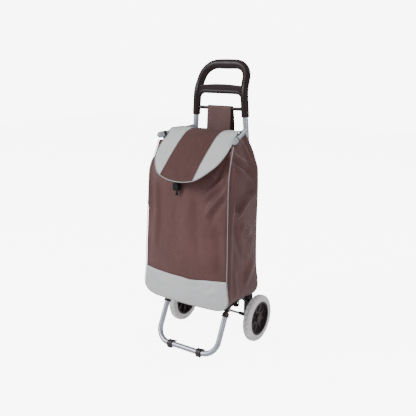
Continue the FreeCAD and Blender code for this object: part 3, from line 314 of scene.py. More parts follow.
BAG_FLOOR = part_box("bag_bottom_panel")[0].z
BAG_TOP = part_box("bag_back_panel")[1].z
CORNER_TOP = 0.683
FRONT_HEM = 0.173  # the front panel's lower edge
BAG_CORNER = 0.042  # radius of the front panel's lower corners
REAR_CORNER = 0.026
CLOTH = 0.0012

FRONT_HALF = (  # (z, half the front panel's width)
    (0.173, 0.1630),
    (0.210, 0.1640),
    (0.240, 0.1610),
    (0.270, 0.1575),
    (0.360, 0.1555),
    (0.440, 0.1530),
    (0.510, 0.1510),
    (0.580, 0.1490),
    (0.620, 0.1455),
    (0.655, 0.1420),
    (0.700, 0.1400),
)
FRONT_Y = (  # (z, y of the front seams from the axle)
    (0.160, -0.203),
    (0.210, -0.204),
    (0.280, -0.203),
    (0.400, -0.197),
    (0.510, -0.190),
    (0.580, -0.184),
    (0.620, -0.171),
    (0.655, -0.156),
    (0.700, -0.137),
)
REAR_HALF = (  # (z, half the bag's width at the back)
    (0.168, 0.1590),
    (0.187, 0.1605),
    (0.207, 0.1640),
    (0.232, 0.1625),
    (0.260, 0.1580),
    (0.291, 0.1555),
    (0.409, 0.1545),
    (0.497, 0.1565),
    (0.565, 0.1565),
    (0.602, 0.1545),
    (0.622, 0.1480),
    (0.659, 0.1340),
    (0.706, 0.1080),
)
CROWN = (  # (z, how far the front panel's middle stands out)
    (0.16, 0.004),
    (0.20, 0.013),
    (0.30, 0.019),
    (0.45, 0.019),
    (0.56, 0.014),
    (0.62, 0.008),
    (0.70, 0.002),
)


def along(stops, at):
    """A smooth value between stops, each (where, value)."""
    if at <= stops[0][0]:
        return stops[0][1]
    for n in range(len(stops) - 1):
        (a, low), (b, high) = stops[n], stops[n + 1]
        if at <= b:
            before = stops[max(n - 1, 0)]
            after = stops[min(n + 2, len(stops) - 1)]
            slope_a = (high - before[1]) / (b - before[0])
            slope_b = (after[1] - low) / (after[0] - a)
            t, step = (at - a) / (b - a), b - a
            rise = (2 * t**3 - 3 * t**2 + 1) * low + (-2 * t**3 + 3 * t**2) * high
            return rise + step * ((t**3 - 2 * t**2 + t) * slope_a + (t**3 - t**2) * slope_b)
    return stops[-1][1]


def ease(low, high, at):
    """0 below low and 1 above high, with a smooth step between."""
    t = min(1.0, max(0.0, (at - low) / (high - low)))
    return t * t * (3 - 2 * t)


def fold(a, b, line, width, height):
    """The rise of a fold whose crest runs along a line of points (a, b), fading out at its ends."""
    best, share = 1e9, 0.0
    count = len(line) - 1
    for n in range(count):
        (a0, b0), (a1, b1) = line[n], line[n + 1]
        da, db = a1 - a0, b1 - b0
        t = min(1.0, max(0.0, ((a - a0) * da + (b - b0) * db) / (da * da + db * db)))
        gap = math.hypot(a - a0 - t * da, b - b0 - t * db)
        if gap < best:
            best, share = gap, (n + t) / count
    fade = ease(0.0, 0.22, share) * ease(0.0, 0.30, 1 - share)
    return height * fade * math.exp(-((best / width) ** 2))


FRONT_FOLDS = (  # crest as (x, z) points, half width, height
    (((0.160, 0.575), (0.121, 0.528), (0.098, 0.498), (0.084, 0.477), (0.062, 0.472)), 0.0095, 0.0070),
    (((0.152, 0.548), (0.122, 0.508), (0.106, 0.478), (0.100, 0.430)), 0.0115, -0.0060),
    (((0.150, 0.604), (0.103, 0.556), (0.066, 0.522)), 0.0105, 0.0050),
    (((0.140, 0.575), (0.104, 0.534), (0.072, 0.502)), 0.0095, -0.0042),
    (((0.140, 0.690), (0.141, 0.650), (0.140, 0.615), (0.146, 0.575)), 0.0075, -0.0110),
    (((0.122, 0.670), (0.122, 0.630), (0.112, 0.590), (0.090, 0.570)), 0.0090, -0.0050),
    (((-0.150, 0.604), (-0.118, 0.552), (-0.110, 0.467), (-0.113, 0.382), (-0.128, 0.300)), 0.0140, 0.0055),
    (((-0.134, 0.610), (-0.096, 0.540), (-0.088, 0.440), (-0.096, 0.350)), 0.0160, -0.0042),
    (((-0.150, 0.560), (-0.138, 0.480), (-0.138, 0.400)), 0.0100, -0.0035),
    (((0.040, 0.560), (0.050, 0.480), (0.050, 0.426), (0.062, 0.350), (0.070, 0.290)), 0.0160, -0.0048),
    (((0.118, 0.470), (0.124, 0.400), (0.130, 0.320), (0.122, 0.280)), 0.0140, -0.0042),
    (((0.146, 0.470), (0.150, 0.400), (0.150, 0.300)), 0.0090, 0.0035),
    (((-0.030, 0.520), (-0.022, 0.430), (-0.036, 0.340)), 0.0220, -0.0035),
    (((0.010, 0.560), (0.016, 0.500), (0.010, 0.430)), 0.0180, 0.0030),
    (((-0.150, 0.250), (-0.090, 0.236), (-0.020, 0.232)), 0.0100, 0.0024),
    (((0.150, 0.246), (0.090, 0.226), (0.030, 0.234)), 0.0090, 0.0030),
    (((0.120, 0.262), (0.100, 0.240), (0.060, 0.214)), 0.0070, -0.0020),
)
GUSSET_FOLDS = (  # crest as (y from the axle, z) points
    (((-0.150, 0.680), (-0.120, 0.650), (-0.078, 0.626), (-0.040, 0.616)), 0.0075, 0.0070),
    (((-0.138, 0.654), (-0.104, 0.622), (-0.060, 0.598), (-0.030, 0.590)), 0.0080, -0.0060),
    (((-0.130, 0.632), (-0.100, 0.598), (-0.060, 0.572), (-0.030, 0.564)), 0.0080, 0.0060),
    (((-0.060, 0.695), (-0.045, 0.640), (-0.030, 0.590)), 0.0080, 0.0045),
    (((-0.165, 0.470), (-0.148, 0.391), (-0.120, 0.330)), 0.0110, -0.0045),
    (((-0.130, 0.440), (-0.094, 0.412), (-0.050, 0.400)), 0.0120, 0.0045),
    (((-0.120, 0.420), (-0.084, 0.386), (-0.050, 0.372)), 0.0110, -0.0040),
    (((-0.110, 0.230), (-0.082, 0.262), (-0.026, 0.300)), 0.0120, 0.0045),
    (((-0.120, 0.255), (-0.090, 0.292), (-0.036, 0.330)), 0.0120, -0.0035),
    (((-0.170, 0.320), (-0.160, 0.250), (-0.150, 0.200)), 0.0100, 0.0030),
)
REAR_CURVE = (  # (height above the lower edge, y from the axle)
    (0.000, -0.0425),
    (0.010, -0.0262),
    (0.026, -0.0182),
    (0.050, -0.0165),
    (0.200, -0.0160),
)
POUCH_FRONT = (  # (z, y from the axle) of the sunken upper area's front edge
    (0.440, -0.158),
    (0.494, -0.161),
    (0.535, -0.168),
    (0.614, -0.166),
    (0.700, -0.166),
)
POUCH_LOW = (  # (y from the axle, z) of its lower edge
    (-0.200, 0.512),
    (-0.160, 0.488),
    (-0.141, 0.472),
    (-0.122, 0.479),
    (-0.086, 0.503),
    (-0.020, 0.530),
)
POUCH_DEPTH = 0.0140
POUCH_LIP = 0.0022
GUSSET_BULGE = 0.0050
SEAM_BULGE = 0.0050
SHOULDER_BULGE = 0.0070
BROAD_CRUMPLE = 0.0018
FINE_CRUMPLE = 0.0006


def front_half(z):
    """Half the front panel's width, at its seam, with the lower corners rounded."""
    half = along(FRONT_HALF, z)
    rise = z - FRONT_HEM
    if rise < BAG_CORNER:
        half -= BAG_CORNER - math.sqrt(max(0.0, BAG_CORNER**2 - (BAG_CORNER - rise) ** 2))
    return half


def crumple(a, b, seed):
    """Fine unevenness of cloth, longer up and down than across."""
    broad = noise.noise(Vector((a * 24, b * 9, seed)))
    small = noise.noise(Vector((a * 75, b * 40, seed + 5)))
    return BROAD_CRUMPLE * broad + FINE_CRUMPLE * small


def front_point(side, z):
    """A point of the front panel. side runs from -1 at its left seam to 1 at its right one."""
    half = front_half(z)
    x = side * half
    out = along(CROWN, z) * (1 - side * side)
    near_seam = ease(0.0, 0.10, 1 - abs(side))
    for line, width, height in FRONT_FOLDS:
        out += near_seam * fold(x, z, line, width, height)
    out += near_seam * crumple(x, z, 3.0) * ease(0.0, 0.03, z - FRONT_HEM)
    return Vector((x, AXLE_Y + along(FRONT_Y, z) - out, z))


def rear_y(rise):
    """How far back the bag's back is, by height above its lower edge."""
    return along(REAR_CURVE, rise)


def gusset_point(side, depth, share):
    """A point of a gusset: side is -1 or 1, depth from 0 at its front seam to 1 at the back, and share
    from its lower edge to its upper one."""
    low = FRONT_HEM + 0.006 * ease(0.0, 0.35, depth) - 0.007 * ease(0.75, 1.0, depth)
    high = CORNER_TOP + (BAG_TOP - CORNER_TOP) * depth
    z = low + (high - low) * share
    lift = z - low
    front_z = z - (low - FRONT_HEM) * (1 - ease(0, 0.12, lift))
    front = front_point(1.0, min(max(front_z, FRONT_HEM), CORNER_TOP))
    rounding = REAR_CORNER - math.sqrt(REAR_CORNER**2 - max(0.0, REAR_CORNER - lift) ** 2)
    rear_half = along(REAR_HALF, z) - rounding
    y = front.y - AXLE_Y + (rear_y(lift) - front.y + AXLE_Y) * depth
    x = front.x + (rear_half - front.x) * depth
    free = ease(0.0, 0.045, depth) * ease(0.0, 0.12, 1 - depth)
    inside = min((y - along(POUCH_FRONT, z)), (z - along(POUCH_LOW, y)))
    out = -POUCH_DEPTH * ease(0.0, 0.013, inside) * ease(0.0, 0.25, 1 - depth)
    out += POUCH_LIP * math.exp(-(((inside + 0.004) / 0.0060) ** 2)) * ease(0.0, 0.15, 1 - depth)
    out += GUSSET_BULGE * math.sin(math.pi * depth) * ease(0.0, 0.1, lift)
    out += SEAM_BULGE * math.exp(-(((depth - 0.07) / 0.07) ** 2)) * ease(0.02, 0.10, lift)
    at_shoulder = ease(0.40, 0.52, z) * ease(0.665, 0.610, z)
    out += SHOULDER_BULGE * math.exp(-(((depth - 0.09) / 0.08) ** 2)) * at_shoulder
    for line, width, height in GUSSET_FOLDS:
        out += fold(y, z, line, width, height)
    out += crumple(y, z, 8.0 + side)
    return Vector((side * (x + out * free), AXLE_Y + y, z))


def mouth_height(side):
    """Height of the front panel's upper edge."""
    return 0.6525 + 0.006 * side * side + (CORNER_TOP - 0.6585) * abs(side) ** 14


def back_point(side, share):
    """A point of the back panel, from -1 to 1 and from its lower edge to its upper one."""
    corner = gusset_point(1.0, 1.0, share)
    inward = 1 - side * side
    between_tubes = ease(0.04, 0.3, 1 - abs(side) / 0.82)
    out = 0.004 * inward * between_tubes * ease(0.02, 0.2, share) * ease(0.02, 0.3, 1 - share)
    out -= 0.0015 + 0.0008 * noise.noise(Vector((side * 4, share * 7, 2.0)))
    return Vector((side * corner.x, corner.y + out, corner.z))


FRONT_COLUMNS, SIDE_COLUMNS, BACK_COLUMNS = 84, 50, 44
COLUMNS = FRONT_COLUMNS + 2 * SIDE_COLUMNS + BACK_COLUMNS
WALL_ROWS, FLOOR_ROWS = 150, 16


def shell_point(column, share):
    """A point of the bag's wall, by column round it from the left front seam and share of height."""
    if column <= FRONT_COLUMNS:
        side = 2 * column / FRONT_COLUMNS - 1
        top = mouth_height(side)
        return front_point(side, FRONT_HEM + (top - FRONT_HEM) * share)
    column -= FRONT_COLUMNS
    if column <= SIDE_COLUMNS:
        return gusset_point(1, column / SIDE_COLUMNS, share)
    column -= SIDE_COLUMNS
    if column <= BACK_COLUMNS:
        return back_point(1 - 2 * column / BACK_COLUMNS, share)
    column -= BACK_COLUMNS
    return gusset_point(-1, 1 - column / SIDE_COLUMNS, share)


def bag_shell(u, v):
    """Maps the flat grid onto the bag: the lowest rows draw in to close its bottom."""
    column = u * COLUMNS
    row = v * (WALL_ROWS + FLOOR_ROWS)
    if row >= FLOOR_ROWS:
        return shell_point(column, ((row - FLOOR_ROWS) / WALL_ROWS) ** 1.12)
    edge = shell_point(column, 0.0)
    inward = 1 - row / FLOOR_ROWS
    middle = Vector((0.0, AXLE_Y - 0.115, BAG_FLOOR + 0.0004))
    hole = Vector((edge.x * 0.3, middle.y + (edge.y - middle.y) * 0.3, middle.z))
    point = edge.lerp(hole, inward)
    point.z = edge.z + (middle.z - edge.z) * ease(0.0, 0.18, inward)
    return point


def grid_piece(name, columns, rows, place, size, closed=False):
    """A sheet made from a flat grid whose points are moved by place(u, v). Its UV map is in metres.
    A closed one is the bag: its ends are joined and its bottom is filled."""
    shape = bmesh.new()
    layer = shape.loops.layers.uv.new("UVMap")
    bmesh.ops.create_grid(shape, x_segments=columns, y_segments=rows, size=0.5)
    for face in shape.faces:
        for corner in face.loops:
            u, v = corner.vert.co.x + 0.5, corner.vert.co.y + 0.5
            corner[layer].uv = (u * size[0], v * size[1])
    for vert in shape.verts:
        vert.co = place(vert.co.x + 0.5, vert.co.y + 0.5)
    if closed:
        bmesh.ops.remove_doubles(shape, verts=shape.verts, dist=1e-5)
        open_edges = [e for e in shape.edges if e.is_boundary]
        lowest = [e for e in open_edges if max(v.co.z for v in e.verts) < BAG_FLOOR + 0.01]
        bmesh.ops.holes_fill(shape, edges=lowest, sides=0)
        bmesh.ops.recalc_face_normals(shape, faces=shape.faces)
        foremost = min(shape.faces, key=lambda f: f.calc_center_median().y)
        if foremost.normal.y > 0:
            bmesh.ops.reverse_faces(shape, faces=shape.faces)
    for face in shape.faces:
        face.smooth = True
    piece = new_piece(name, shape)
    piece.data.set_sharp_from_angle(angle=math.radians(50))
    return piece


def thicken(piece, thickness, offset=-1.0):
    """Gives a sheet its thickness, inwards unless an offset is given."""
    wall = piece.modifiers.new("thickness", "SOLIDIFY")
    wall.thickness = thickness
    wall.offset = offset


WEAVE = 0.0009  # pitch of the polyester's threads
brown_cloth = cloth_material("brown_cloth", BROWN, WEAVE, 0.04)

bag = grid_piece("bag_shell", COLUMNS, WALL_ROWS + FLOOR_ROWS, bag_shell, (0.98, 0.70), closed=True)
thicken(bag, CLOTH)
bag.data.materials.append(brown_cloth)
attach(bag, "frame")
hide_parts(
    "bag_front_panel",
    "bag_gusset_left",
    "bag_gusset_right",
    "bag_back_panel",
    "bag_bottom_panel",
)


# ---- kick panel --------------------------------------------------------------------------------
# A wear panel of grey cloth, sewn over the front panel's lower part. Its upper edge is turned
# in and stitched, and lies in a gentle wave.

KICK_LIFT = 0.0014
KICK_ROLL = 0.0009
KICK_ROWS_OF_STITCHES = (0.0915, 0.0885)
KICK_WAVE = (  # (side, z) of its upper edge
    (-1.0, 0.2700),
    (-0.45, 0.2665),
    (0.0, 0.2660),
    (0.22, 0.2645),
    (0.60, 0.2710),
    (1.0, 0.2755),
)


def kick_panel(u, v):
    """Maps the flat grid onto the front panel's lower part, a little in front of it."""
    side = 2 * u - 1
    height = along(KICK_WAVE, side) - FRONT_HEM
    point = front_point(side * 0.998, FRONT_HEM + height * v**1.05)
    roll = KICK_ROLL * math.exp(-(((1 - v) * height / 0.0022) ** 2))
    point.y -= KICK_LIFT + roll
    return point


kick_cloth = cloth_material(
    "kick_cloth", (0.50, 0.505, 0.52), WEAVE, 0.03, fade=0.05, stitches=KICK_ROWS_OF_STITCHES
)
kick = grid_piece("kick_panel", 120, 44, kick_panel, (0.32, 0.095))
thicken(kick, 0.0009)
kick.data.materials.append(kick_cloth)
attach(kick, "frame")
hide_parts("bag_kick_panel")


# ---- bag piping --------------------------------------------------------------------------------
# Light grey piping sewn into the seam round the front panel: down both sides and along the
# lower edge.

PIPING = 0.0013


def seam_line(steps_up, steps_low):
    """Points along the front panel's seam, from its upper left corner round to its upper right one."""
    points = []
    for n in range(steps_up + 1):
        z = CORNER_TOP - (CORNER_TOP - FRONT_HEM) * (n / steps_up)
        points.append(Vector((-front_half(z), AXLE_Y + along(FRONT_Y, z), z)))
    low_half = front_half(FRONT_HEM)
    for n in range(1, steps_low):
        side = 2 * n / steps_low - 1
        points.append(Vector((low_half * side, front_point(side, FRONT_HEM).y, FRONT_HEM)))
    mirrored = [Vector((-p.x, p.y, p.z)) for p in reversed(points[: steps_up + 1])]
    return points + mirrored


SEAM_OUT = 0.0018
SEAM_FORWARD = 0.0016
piping_route = []
for point in seam_line(70, 14):
    outward = SEAM_OUT if point.x > 0 else -SEAM_OUT
    piping_route.append(point + Vector((outward, -SEAM_FORWARD, 0.0)))
piping_cloth = cloth_material("piping_cloth", (0.27, 0.27, 0.27), 0.0006, 0.05, fade=0.06, slant=1.0)
piping = smooth_line("bag_piping", piping_route, PIPING)
piping.data.materials.append(piping_cloth)
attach(piping, "frame")
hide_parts("bag_piping_left", "bag_piping_right")


# ---- mouth hem ---------------------------------------------------------------------------------
# The front panel's upper edge is rolled into a hem that the drawcord runs in. It is gathered a
# little, so the roll swells and narrows along its length.

HEM_RADIUS = 0.0036
HEM_SHARE = 0.87  # of the front panel's width


def hem_route(count):
    """Points along the front panel's upper edge, a little uneven."""
    points = []
    for n in range(count + 1):
        side = (2 * n / count - 1) * HEM_SHARE
        at = front_point(side, mouth_height(side))
        points.append(at + Vector((0.0, 0.0008 * math.sin(n * 1.9), 0.0006 * math.sin(n * 2.3))))
    return points


hem = smooth_line("mouth_hem_roll", hem_route(56), HEM_RADIUS)
for n, point in enumerate(hem.data.splines[0].points):
    point.radius = 1.0 + 0.10 * math.sin(n * 2.1)
hem.data.materials.append(brown_cloth)
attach(hem, "frame")
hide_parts("mouth_hem", "drawcord")


# ---- flap --------------------------------------------------------------------------------------
# The lid: three panels of cloth sewn together, grey, brown, grey, with light piping in the
# seams and round the edge. It is hinged by its sewn back edge, rests on the mouth and hangs
# down in front under its own weight.

FLAP_LINE = (  # (y from the axle, z) along its middle
    (-0.0180, 0.7105),
    (-0.0380, 0.7165),
    (-0.0600, 0.7190),
    (-0.0860, 0.7155),
    (-0.1120, 0.7060),
    (-0.1400, 0.6880),
    (-0.1680, 0.6650),
    (-0.1960, 0.6400),
    (-0.2230, 0.6140),
    (-0.2560, 0.5810),
)
FLAP_HALF = (  # (share of its length, half its width)
    (0.000, 0.0880),
    (0.100, 0.1030),
    (0.220, 0.1160),
    (0.340, 0.1245),
    (0.400, 0.1275),
    (0.460, 0.1280),
    (0.580, 0.1280),
    (0.680, 0.1260),
    (0.770, 0.1195),
    (0.840, 0.1085),
    (0.900, 0.0935),
    (0.940, 0.0785),
    (0.954, 0.0705),
    (0.963, 0.0620),
)
FLAP_BACK_HALF = 0.088
FLAP_WIDEST_HALF = 0.125
FLAP_SEAM = 0.062
SEAM_END = 0.963  # where the flap's edge reaches its seams
FLAP_DROOP = 0.0055
HORN_LIFT = 0.0055  # the cloth rises where it passes over the horns
SEAM_DIP = 0.0008
SIDE_STRIPS, MIDDLE_STRIPS = 34, 60


def flap_middle(share):
    """A point of the flap's middle line, as (y, z), by share of its length."""
    at = share * (len(FLAP_LINE) - 1)
    y = along([(n, FLAP_LINE[n][0]) for n in range(len(FLAP_LINE))], at)
    z = along([(n, FLAP_LINE[n][1]) for n in range(len(FLAP_LINE))], at)
    return y, z


def flap_point(x, share):
    """A point of the flap, x from its middle, by share of its length from the back edge."""
    y, z = flap_middle(share)
    y2, z2 = flap_middle(min(1.0, share + 0.01))
    y1, z1 = flap_middle(max(0.0, share - 0.01))
    tangent = Vector((0.0, y2 - y1, z2 - z1)).normalized()
    out = Vector((0.0, tangent.z, -tangent.y))
    if out.z < 0:
        out = -out
    across = abs(x) / FLAP_WIDEST_HALF
    droop = -FLAP_DROOP * across**3 * ease(0.30, 0.6, share)
    lift = 0.0020 * noise.noise(Vector((x * 14, share * 4, 1.0))) * ease(0.02, 0.2, share)
    lift += 0.0007 * noise.noise(Vector((x * 50, share * 16, 4.0))) * ease(0.02, 0.2, share)
    over_horn = math.exp(-(((share - 0.37) / 0.065) ** 2))
    over_horn *= math.exp(-(((abs(x) - 0.130) / 0.022) ** 2))
    lift += HORN_LIFT * over_horn
    beside_seam = (abs(x) - FLAP_SEAM) / 0.0035
    lift -= SEAM_DIP * math.exp(-(beside_seam**2))
    return Vector((x, AXLE_Y + y, z)) + out * (droop + lift)


def middle_end(x):
    """Share of its length where the flap's middle panel ends, at a distance x from the middle."""
    return 1 - (1 - SEAM_END) * ((x - 0.008) / (FLAP_SEAM + 0.008)) ** 2


def edge_half(x_sign, share):
    """Half the flap's width by share of its length. Its right seam ends lower than its left one."""
    return along(FLAP_HALF, share * SEAM_END / middle_end(x_sign * FLAP_SEAM))


def flap_sheet(u, v):
    """Maps the flat grid onto the flap: side, middle and side strips, and from front to back."""
    strip = u * (2 * SIDE_STRIPS + MIDDLE_STRIPS)
    side = strip if strip < SIDE_STRIPS else 2 * SIDE_STRIPS + MIDDLE_STRIPS - strip
    if side < SIDE_STRIPS:
        x_sign = -1 if strip < SIDE_STRIPS else 1
        share = (1 - v) * middle_end(x_sign * FLAP_SEAM)
        edge = edge_half(x_sign, share)
        return flap_point(x_sign * (edge + (FLAP_SEAM - edge) * side / SIDE_STRIPS), share)
    x = FLAP_SEAM * (2 * (strip - SIDE_STRIPS) / MIDDLE_STRIPS - 1)
    return flap_point(x, (1 - v) * middle_end(x))


grey_cloth = cloth_material("grey_cloth", (0.54, 0.545, 0.56), WEAVE, 0.03, fade=0.04)
# The brown middle panel is painted shade: a darker copy of the bag's brown, because the flap's upturned
# face catches more light.
flap_shaded_brown_cloth = cloth_material("flap_shaded_brown_cloth", (0.080, 0.034, 0.031), WEAVE, 0.04)
flap = grid_piece("flap_sheet", 2 * SIDE_STRIPS + MIDDLE_STRIPS, 130, flap_sheet, (0.25, 0.32))
for face in flap.data.polygons:
    middle_x = sum(flap.data.vertices[v].co.x for v in face.vertices) / len(face.vertices)
    face.material_index = 0 if abs(middle_x) < FLAP_SEAM else 1
thicken(flap, 0.0016)
flap.data.materials.append(flap_shaded_brown_cloth)
flap.data.materials.append(grey_cloth)
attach(flap, "flap")
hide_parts("flap_centre_panel", "flap_side_panel_left", "flap_side_panel_right")


def flap_rim():
    """Points round the flap's free edge, from its left back corner to its right one."""
    sides = []
    for x_sign in (-1, 1):
        shares = [middle_end(x_sign * FLAP_SEAM) * n / 44 for n in range(45)]
        sides.append([flap_point(x_sign * edge_half(x_sign, share), share) for share in shares])
    low_xs = [FLAP_SEAM * (n / 9 - 1) for n in range(1, 18)]
    low = [flap_point(x, middle_end(x)) for x in low_xs]
    return sides[0] + low + sides[1][::-1]


rim = smooth_line("flap_piping_edge", flap_rim(), 0.0016)
seam_cords = []
for word, x in (("left", -FLAP_SEAM), ("right", FLAP_SEAM)):
    route = [flap_point(x, middle_end(x) * n / 44) + Vector((0, -0.0002, 0.0006)) for n in range(45)]
    seam_cords.append(smooth_line(f"flap_piping_{word}", route, 0.0009))
back_route = [
    flap_point(FLAP_BACK_HALF * (n / 6 - 1), 0.0) - Vector((0, 0, 0.0012)) for n in range(13)
]
fold_line = smooth_line("flap_back_fold", back_route, 0.0019)
for piece in [rim, fold_line] + seam_cords:
    piece.data.materials.append(piping_cloth)
    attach(piece, "flap")
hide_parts("flap_piping")
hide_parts("flap_fold")


# ---- hanging strap -----------------------------------------------------------------------------
# A wide strap of the bag's brown cloth, doubled and sewn. It loops over the strap bar below the
# handle and carries the bag's back. Both ends are sewn to the back panel; the rear run is
# longer and hangs slack.

STRAP_HALF = 0.045
STRAP_ROUTE = (  # (y from the axle, z)
    (-0.0126, 0.6800),
    (-0.0126, 0.7000),
    (-0.0118, 0.7200),
    (-0.0098, 0.7500),
    (-0.0080, 0.7760),
    (-0.0062, 0.7855),
    (0.0000, 0.7882),
    (0.0064, 0.7852),
    (0.0088, 0.7760),
    (0.0130, 0.7480),
    (0.0155, 0.7180),
    (0.0120, 0.6820),
    (0.0000, 0.6520),
    (-0.0110, 0.6380),
    (-0.0122, 0.6300),
    (-0.0122, 0.6140),
)


def strap_sheet(u, v):
    """Maps the flat grid onto the strap's run, with a slight wave where it hangs free."""
    x = STRAP_HALF * (2 * u - 1)
    at = v * (len(STRAP_ROUTE) - 1)
    y = along([(n, p[0]) for n, p in enumerate(STRAP_ROUTE)], at)
    z = along([(n, p[1]) for n, p in enumerate(STRAP_ROUTE)], at)
    on_bar = math.exp(-(((v - 0.4) / 0.08) ** 2))
    free = ease(0.06, 0.2, v) * ease(0.06, 0.2, 1 - v) * (1 - on_bar)
    y += free * (0.0014 * noise.noise(Vector((x * 30, v * 6, 0.5))) + 0.0010 * math.cos(x * 120))
    edge_roll = 0.0005 * math.exp(-(((STRAP_HALF - abs(x)) / 0.003) ** 2))
    return Vector((x, AXLE_Y + y, z + edge_roll))


strap_cloth = cloth_material("strap_cloth", (0.094, 0.047, 0.045), WEAVE, 0.08)
strap = grid_piece("hanging_strap_sheet", 40, 150, strap_sheet, (0.09, 0.30))
thicken(strap, 0.0017, offset=0.0)
strap.data.materials.append(strap_cloth)
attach(strap, "frame")
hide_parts("hanging_strap")


# ---- webbing loops -----------------------------------------------------------------------------
# Narrow woven tapes that tie the bag to its frame: a loop with a tab on each horn, one round
# each upright, and one from each knuckle's lug to the bag's front bottom corner.

TAPE = 0.0014
LOOP_WIDTH = 0.010
LOOP_RADIUS = 0.0091
LOOP_FROM_TIP = 0.0306
LOOP_ROUND = 0.72  # share of the loop's tape that goes round the horn
BACK_LOOP_WIDTH = 0.030
BACK_LOOP_Z = 0.300
BACK_LOOP_RADIUS = 0.0100
BACK_LOOP_LEG = 0.0140
CORNER_STRAP_WIDTH = 0.007
CORNER_STRAP_HALF = 0.0031
CORNER_STRAP_LOW = (0.1375, 0.1580)  # (x, z) of the middle of its lower turn
CORNER_STRAP_HIGH = (0.1375, 0.1800)
webbing = cloth_material("brown_webbing", (0.030, 0.016, 0.015), 0.0012, 0.10, slant=0.5, depth=0.6)
UPRIGHT_X = 0.117
HORN_START = Vector((0.09856, 0.0, 0.716))
HORN_END = Vector((0.1435, -0.148, 0.697))
horn_way = (HORN_END - HORN_START).normalized()
horn_across = horn_way.cross(Vector((0, 0, 1))).normalized()
horn_up = horn_across.cross(horn_way).normalized()


def tape_piece(name, columns, rows, place, size, node):
    """A piece of narrow tape that stands for a node."""
    tape = grid_piece(name, columns, rows, place, size)
    thicken(tape, TAPE, offset=0.0)
    tape.data.materials.append(webbing)
    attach(tape, "frame")
    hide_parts(node)
    return tape


for word, mirror in (("left", -1), ("right", 1)):

    def horn_loop(u, v):
        """Round the horn, then down as a doubled tab to the bag's corner."""
        along_horn = HORN_END - horn_way * (LOOP_FROM_TIP - LOOP_WIDTH * u)
        if v < LOOP_ROUND:
            turn = math.radians(-100 + 380 * v / LOOP_ROUND)
            radius = LOOP_RADIUS + 0.0003 * math.sin(3 * turn)
        else:
            turn = math.radians(280)
            radius = LOOP_RADIUS
        point = along_horn + horn_across * radius * math.sin(turn) - horn_up * radius * math.cos(turn)
        if v >= LOOP_ROUND:
            corner = Vector((0.1345, along_horn.y, 0.6815))
            point = point.lerp(corner, (v - LOOP_ROUND) / (1 - LOOP_ROUND))
        return Vector((mirror * point.x, AXLE_Y + point.y, point.z))

    tape_piece(f"horn_loop_{word}", 10, 90, horn_loop, (LOOP_WIDTH, 0.075), "horn_loops")

    def back_loop(u, v):
        """Out from the back panel, round the upright and back to the panel."""
        z = BACK_LOOP_Z + BACK_LOOP_WIDTH * u
        run = v * 3
        if run < 1:
            x, y = -BACK_LOOP_RADIUS, -BACK_LOOP_LEG + BACK_LOOP_LEG * run
        elif run < 2:
            turn = math.pi * (run - 1)
            x, y = -BACK_LOOP_RADIUS * math.cos(turn), BACK_LOOP_RADIUS * math.sin(turn)
        else:
            x, y = BACK_LOOP_RADIUS, -BACK_LOOP_LEG * (run - 2)
        y += 0.0003 * noise.noise(Vector((u * 3, v * 9, mirror)))
        return Vector((mirror * (UPRIGHT_X + x), AXLE_Y + y, z))

    tape_piece(f"back_loop_{word}", 12, 60, back_loop, (BACK_LOOP_WIDTH, 0.060), "back_loops")

    def corner_strap(u, v):
        """A flat closed loop from the knuckle's lug up to the bag's corner."""
        turn = 2 * math.pi * v
        end_x, end_z = CORNER_STRAP_HIGH if math.sin(turn) > 0 else CORNER_STRAP_LOW
        x = end_x + CORNER_STRAP_HALF * math.cos(turn)
        z = end_z + CORNER_STRAP_HALF * math.sin(turn)
        return Vector((mirror * x, AXLE_Y - 0.1065 + CORNER_STRAP_WIDTH * u, z))

    size = (CORNER_STRAP_WIDTH, 0.070)
    tape_piece(f"corner_strap_{word}", 6, 48, corner_strap, size, "corner_straps")


# ---- tyres -------------------------------------------------------------------------------------
# Off-white foam tyres, moulded with a zigzag groove round the middle and cross cuts that make
# blocks at the shoulders.

TYRE_RADIUS = (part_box("tyre_right")[1].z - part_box("tyre_right")[0].z) / 2
TYRE_MIDDLE = (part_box("tyre_right")[0].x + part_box("tyre_right")[1].x) / 2
TREAD_WAVES = 26
TREAD_DEPTH = 0.0032
TREAD_SWING = 0.0034  # how far the zigzag goes to each side
GROOVE = 0.0010
CROSS_CUT = 0.0014
TREAD_FROM = 0.0680  # the radius where the tread starts on the side wall
TREAD_FULL = 0.0745
TYRE_PROFILE = (  # (from the tyre's middle, radius)
    (-0.0115, 0.0581),
    (-0.0134, 0.0620),
    (-0.0140, 0.0665),
    (-0.0137, 0.0705),
    (-0.0128, 0.0735),
    (-0.0112, 0.0765),
    (-0.0088, 0.0785),
    (-0.0055, 0.0797),
    (0.0000, 0.0800),
    (0.0055, 0.0797),
    (0.0088, 0.0785),
    (0.0112, 0.0765),
    (0.0128, 0.0735),
    (0.0137, 0.0705),
    (0.0140, 0.0665),
    (0.0134, 0.0620),
    (0.0115, 0.0581),
)


def tread_cut(across, angle):
    """Depth of the tread's grooves at a place on the tyre."""
    phase = (angle * TREAD_WAVES / (2 * math.pi)) % 1.0
    zigzag = TREAD_SWING * (4 * abs(phase - 0.5) - 1)
    groove = ease(0.0, 1.0, 1.7 - abs(across - zigzag) / GROOVE)
    cut_at = 0.0 if across > zigzag else 0.5
    beside = abs((phase - cut_at + 0.5) % 1.0 - 0.5) * 2 * math.pi * TYRE_RADIUS / TREAD_WAVES
    cross = ease(0.0, 1.0, 1.9 - beside / CROSS_CUT)
    return TREAD_DEPTH * max(groove, cross)


def spin_about_axle(shape, steps):
    """Sweeps everything in a bmesh round the axle's line."""
    bmesh.ops.spin(
        shape,
        geom=shape.verts[:] + shape.edges[:],
        cent=(0, AXLE_Y, AXLE_Z),
        axis=(1, 0, 0),
        angle=2 * math.pi,
        steps=steps,
        use_merge=True,
    )
    bmesh.ops.remove_doubles(shape, verts=shape.verts, dist=1e-5)


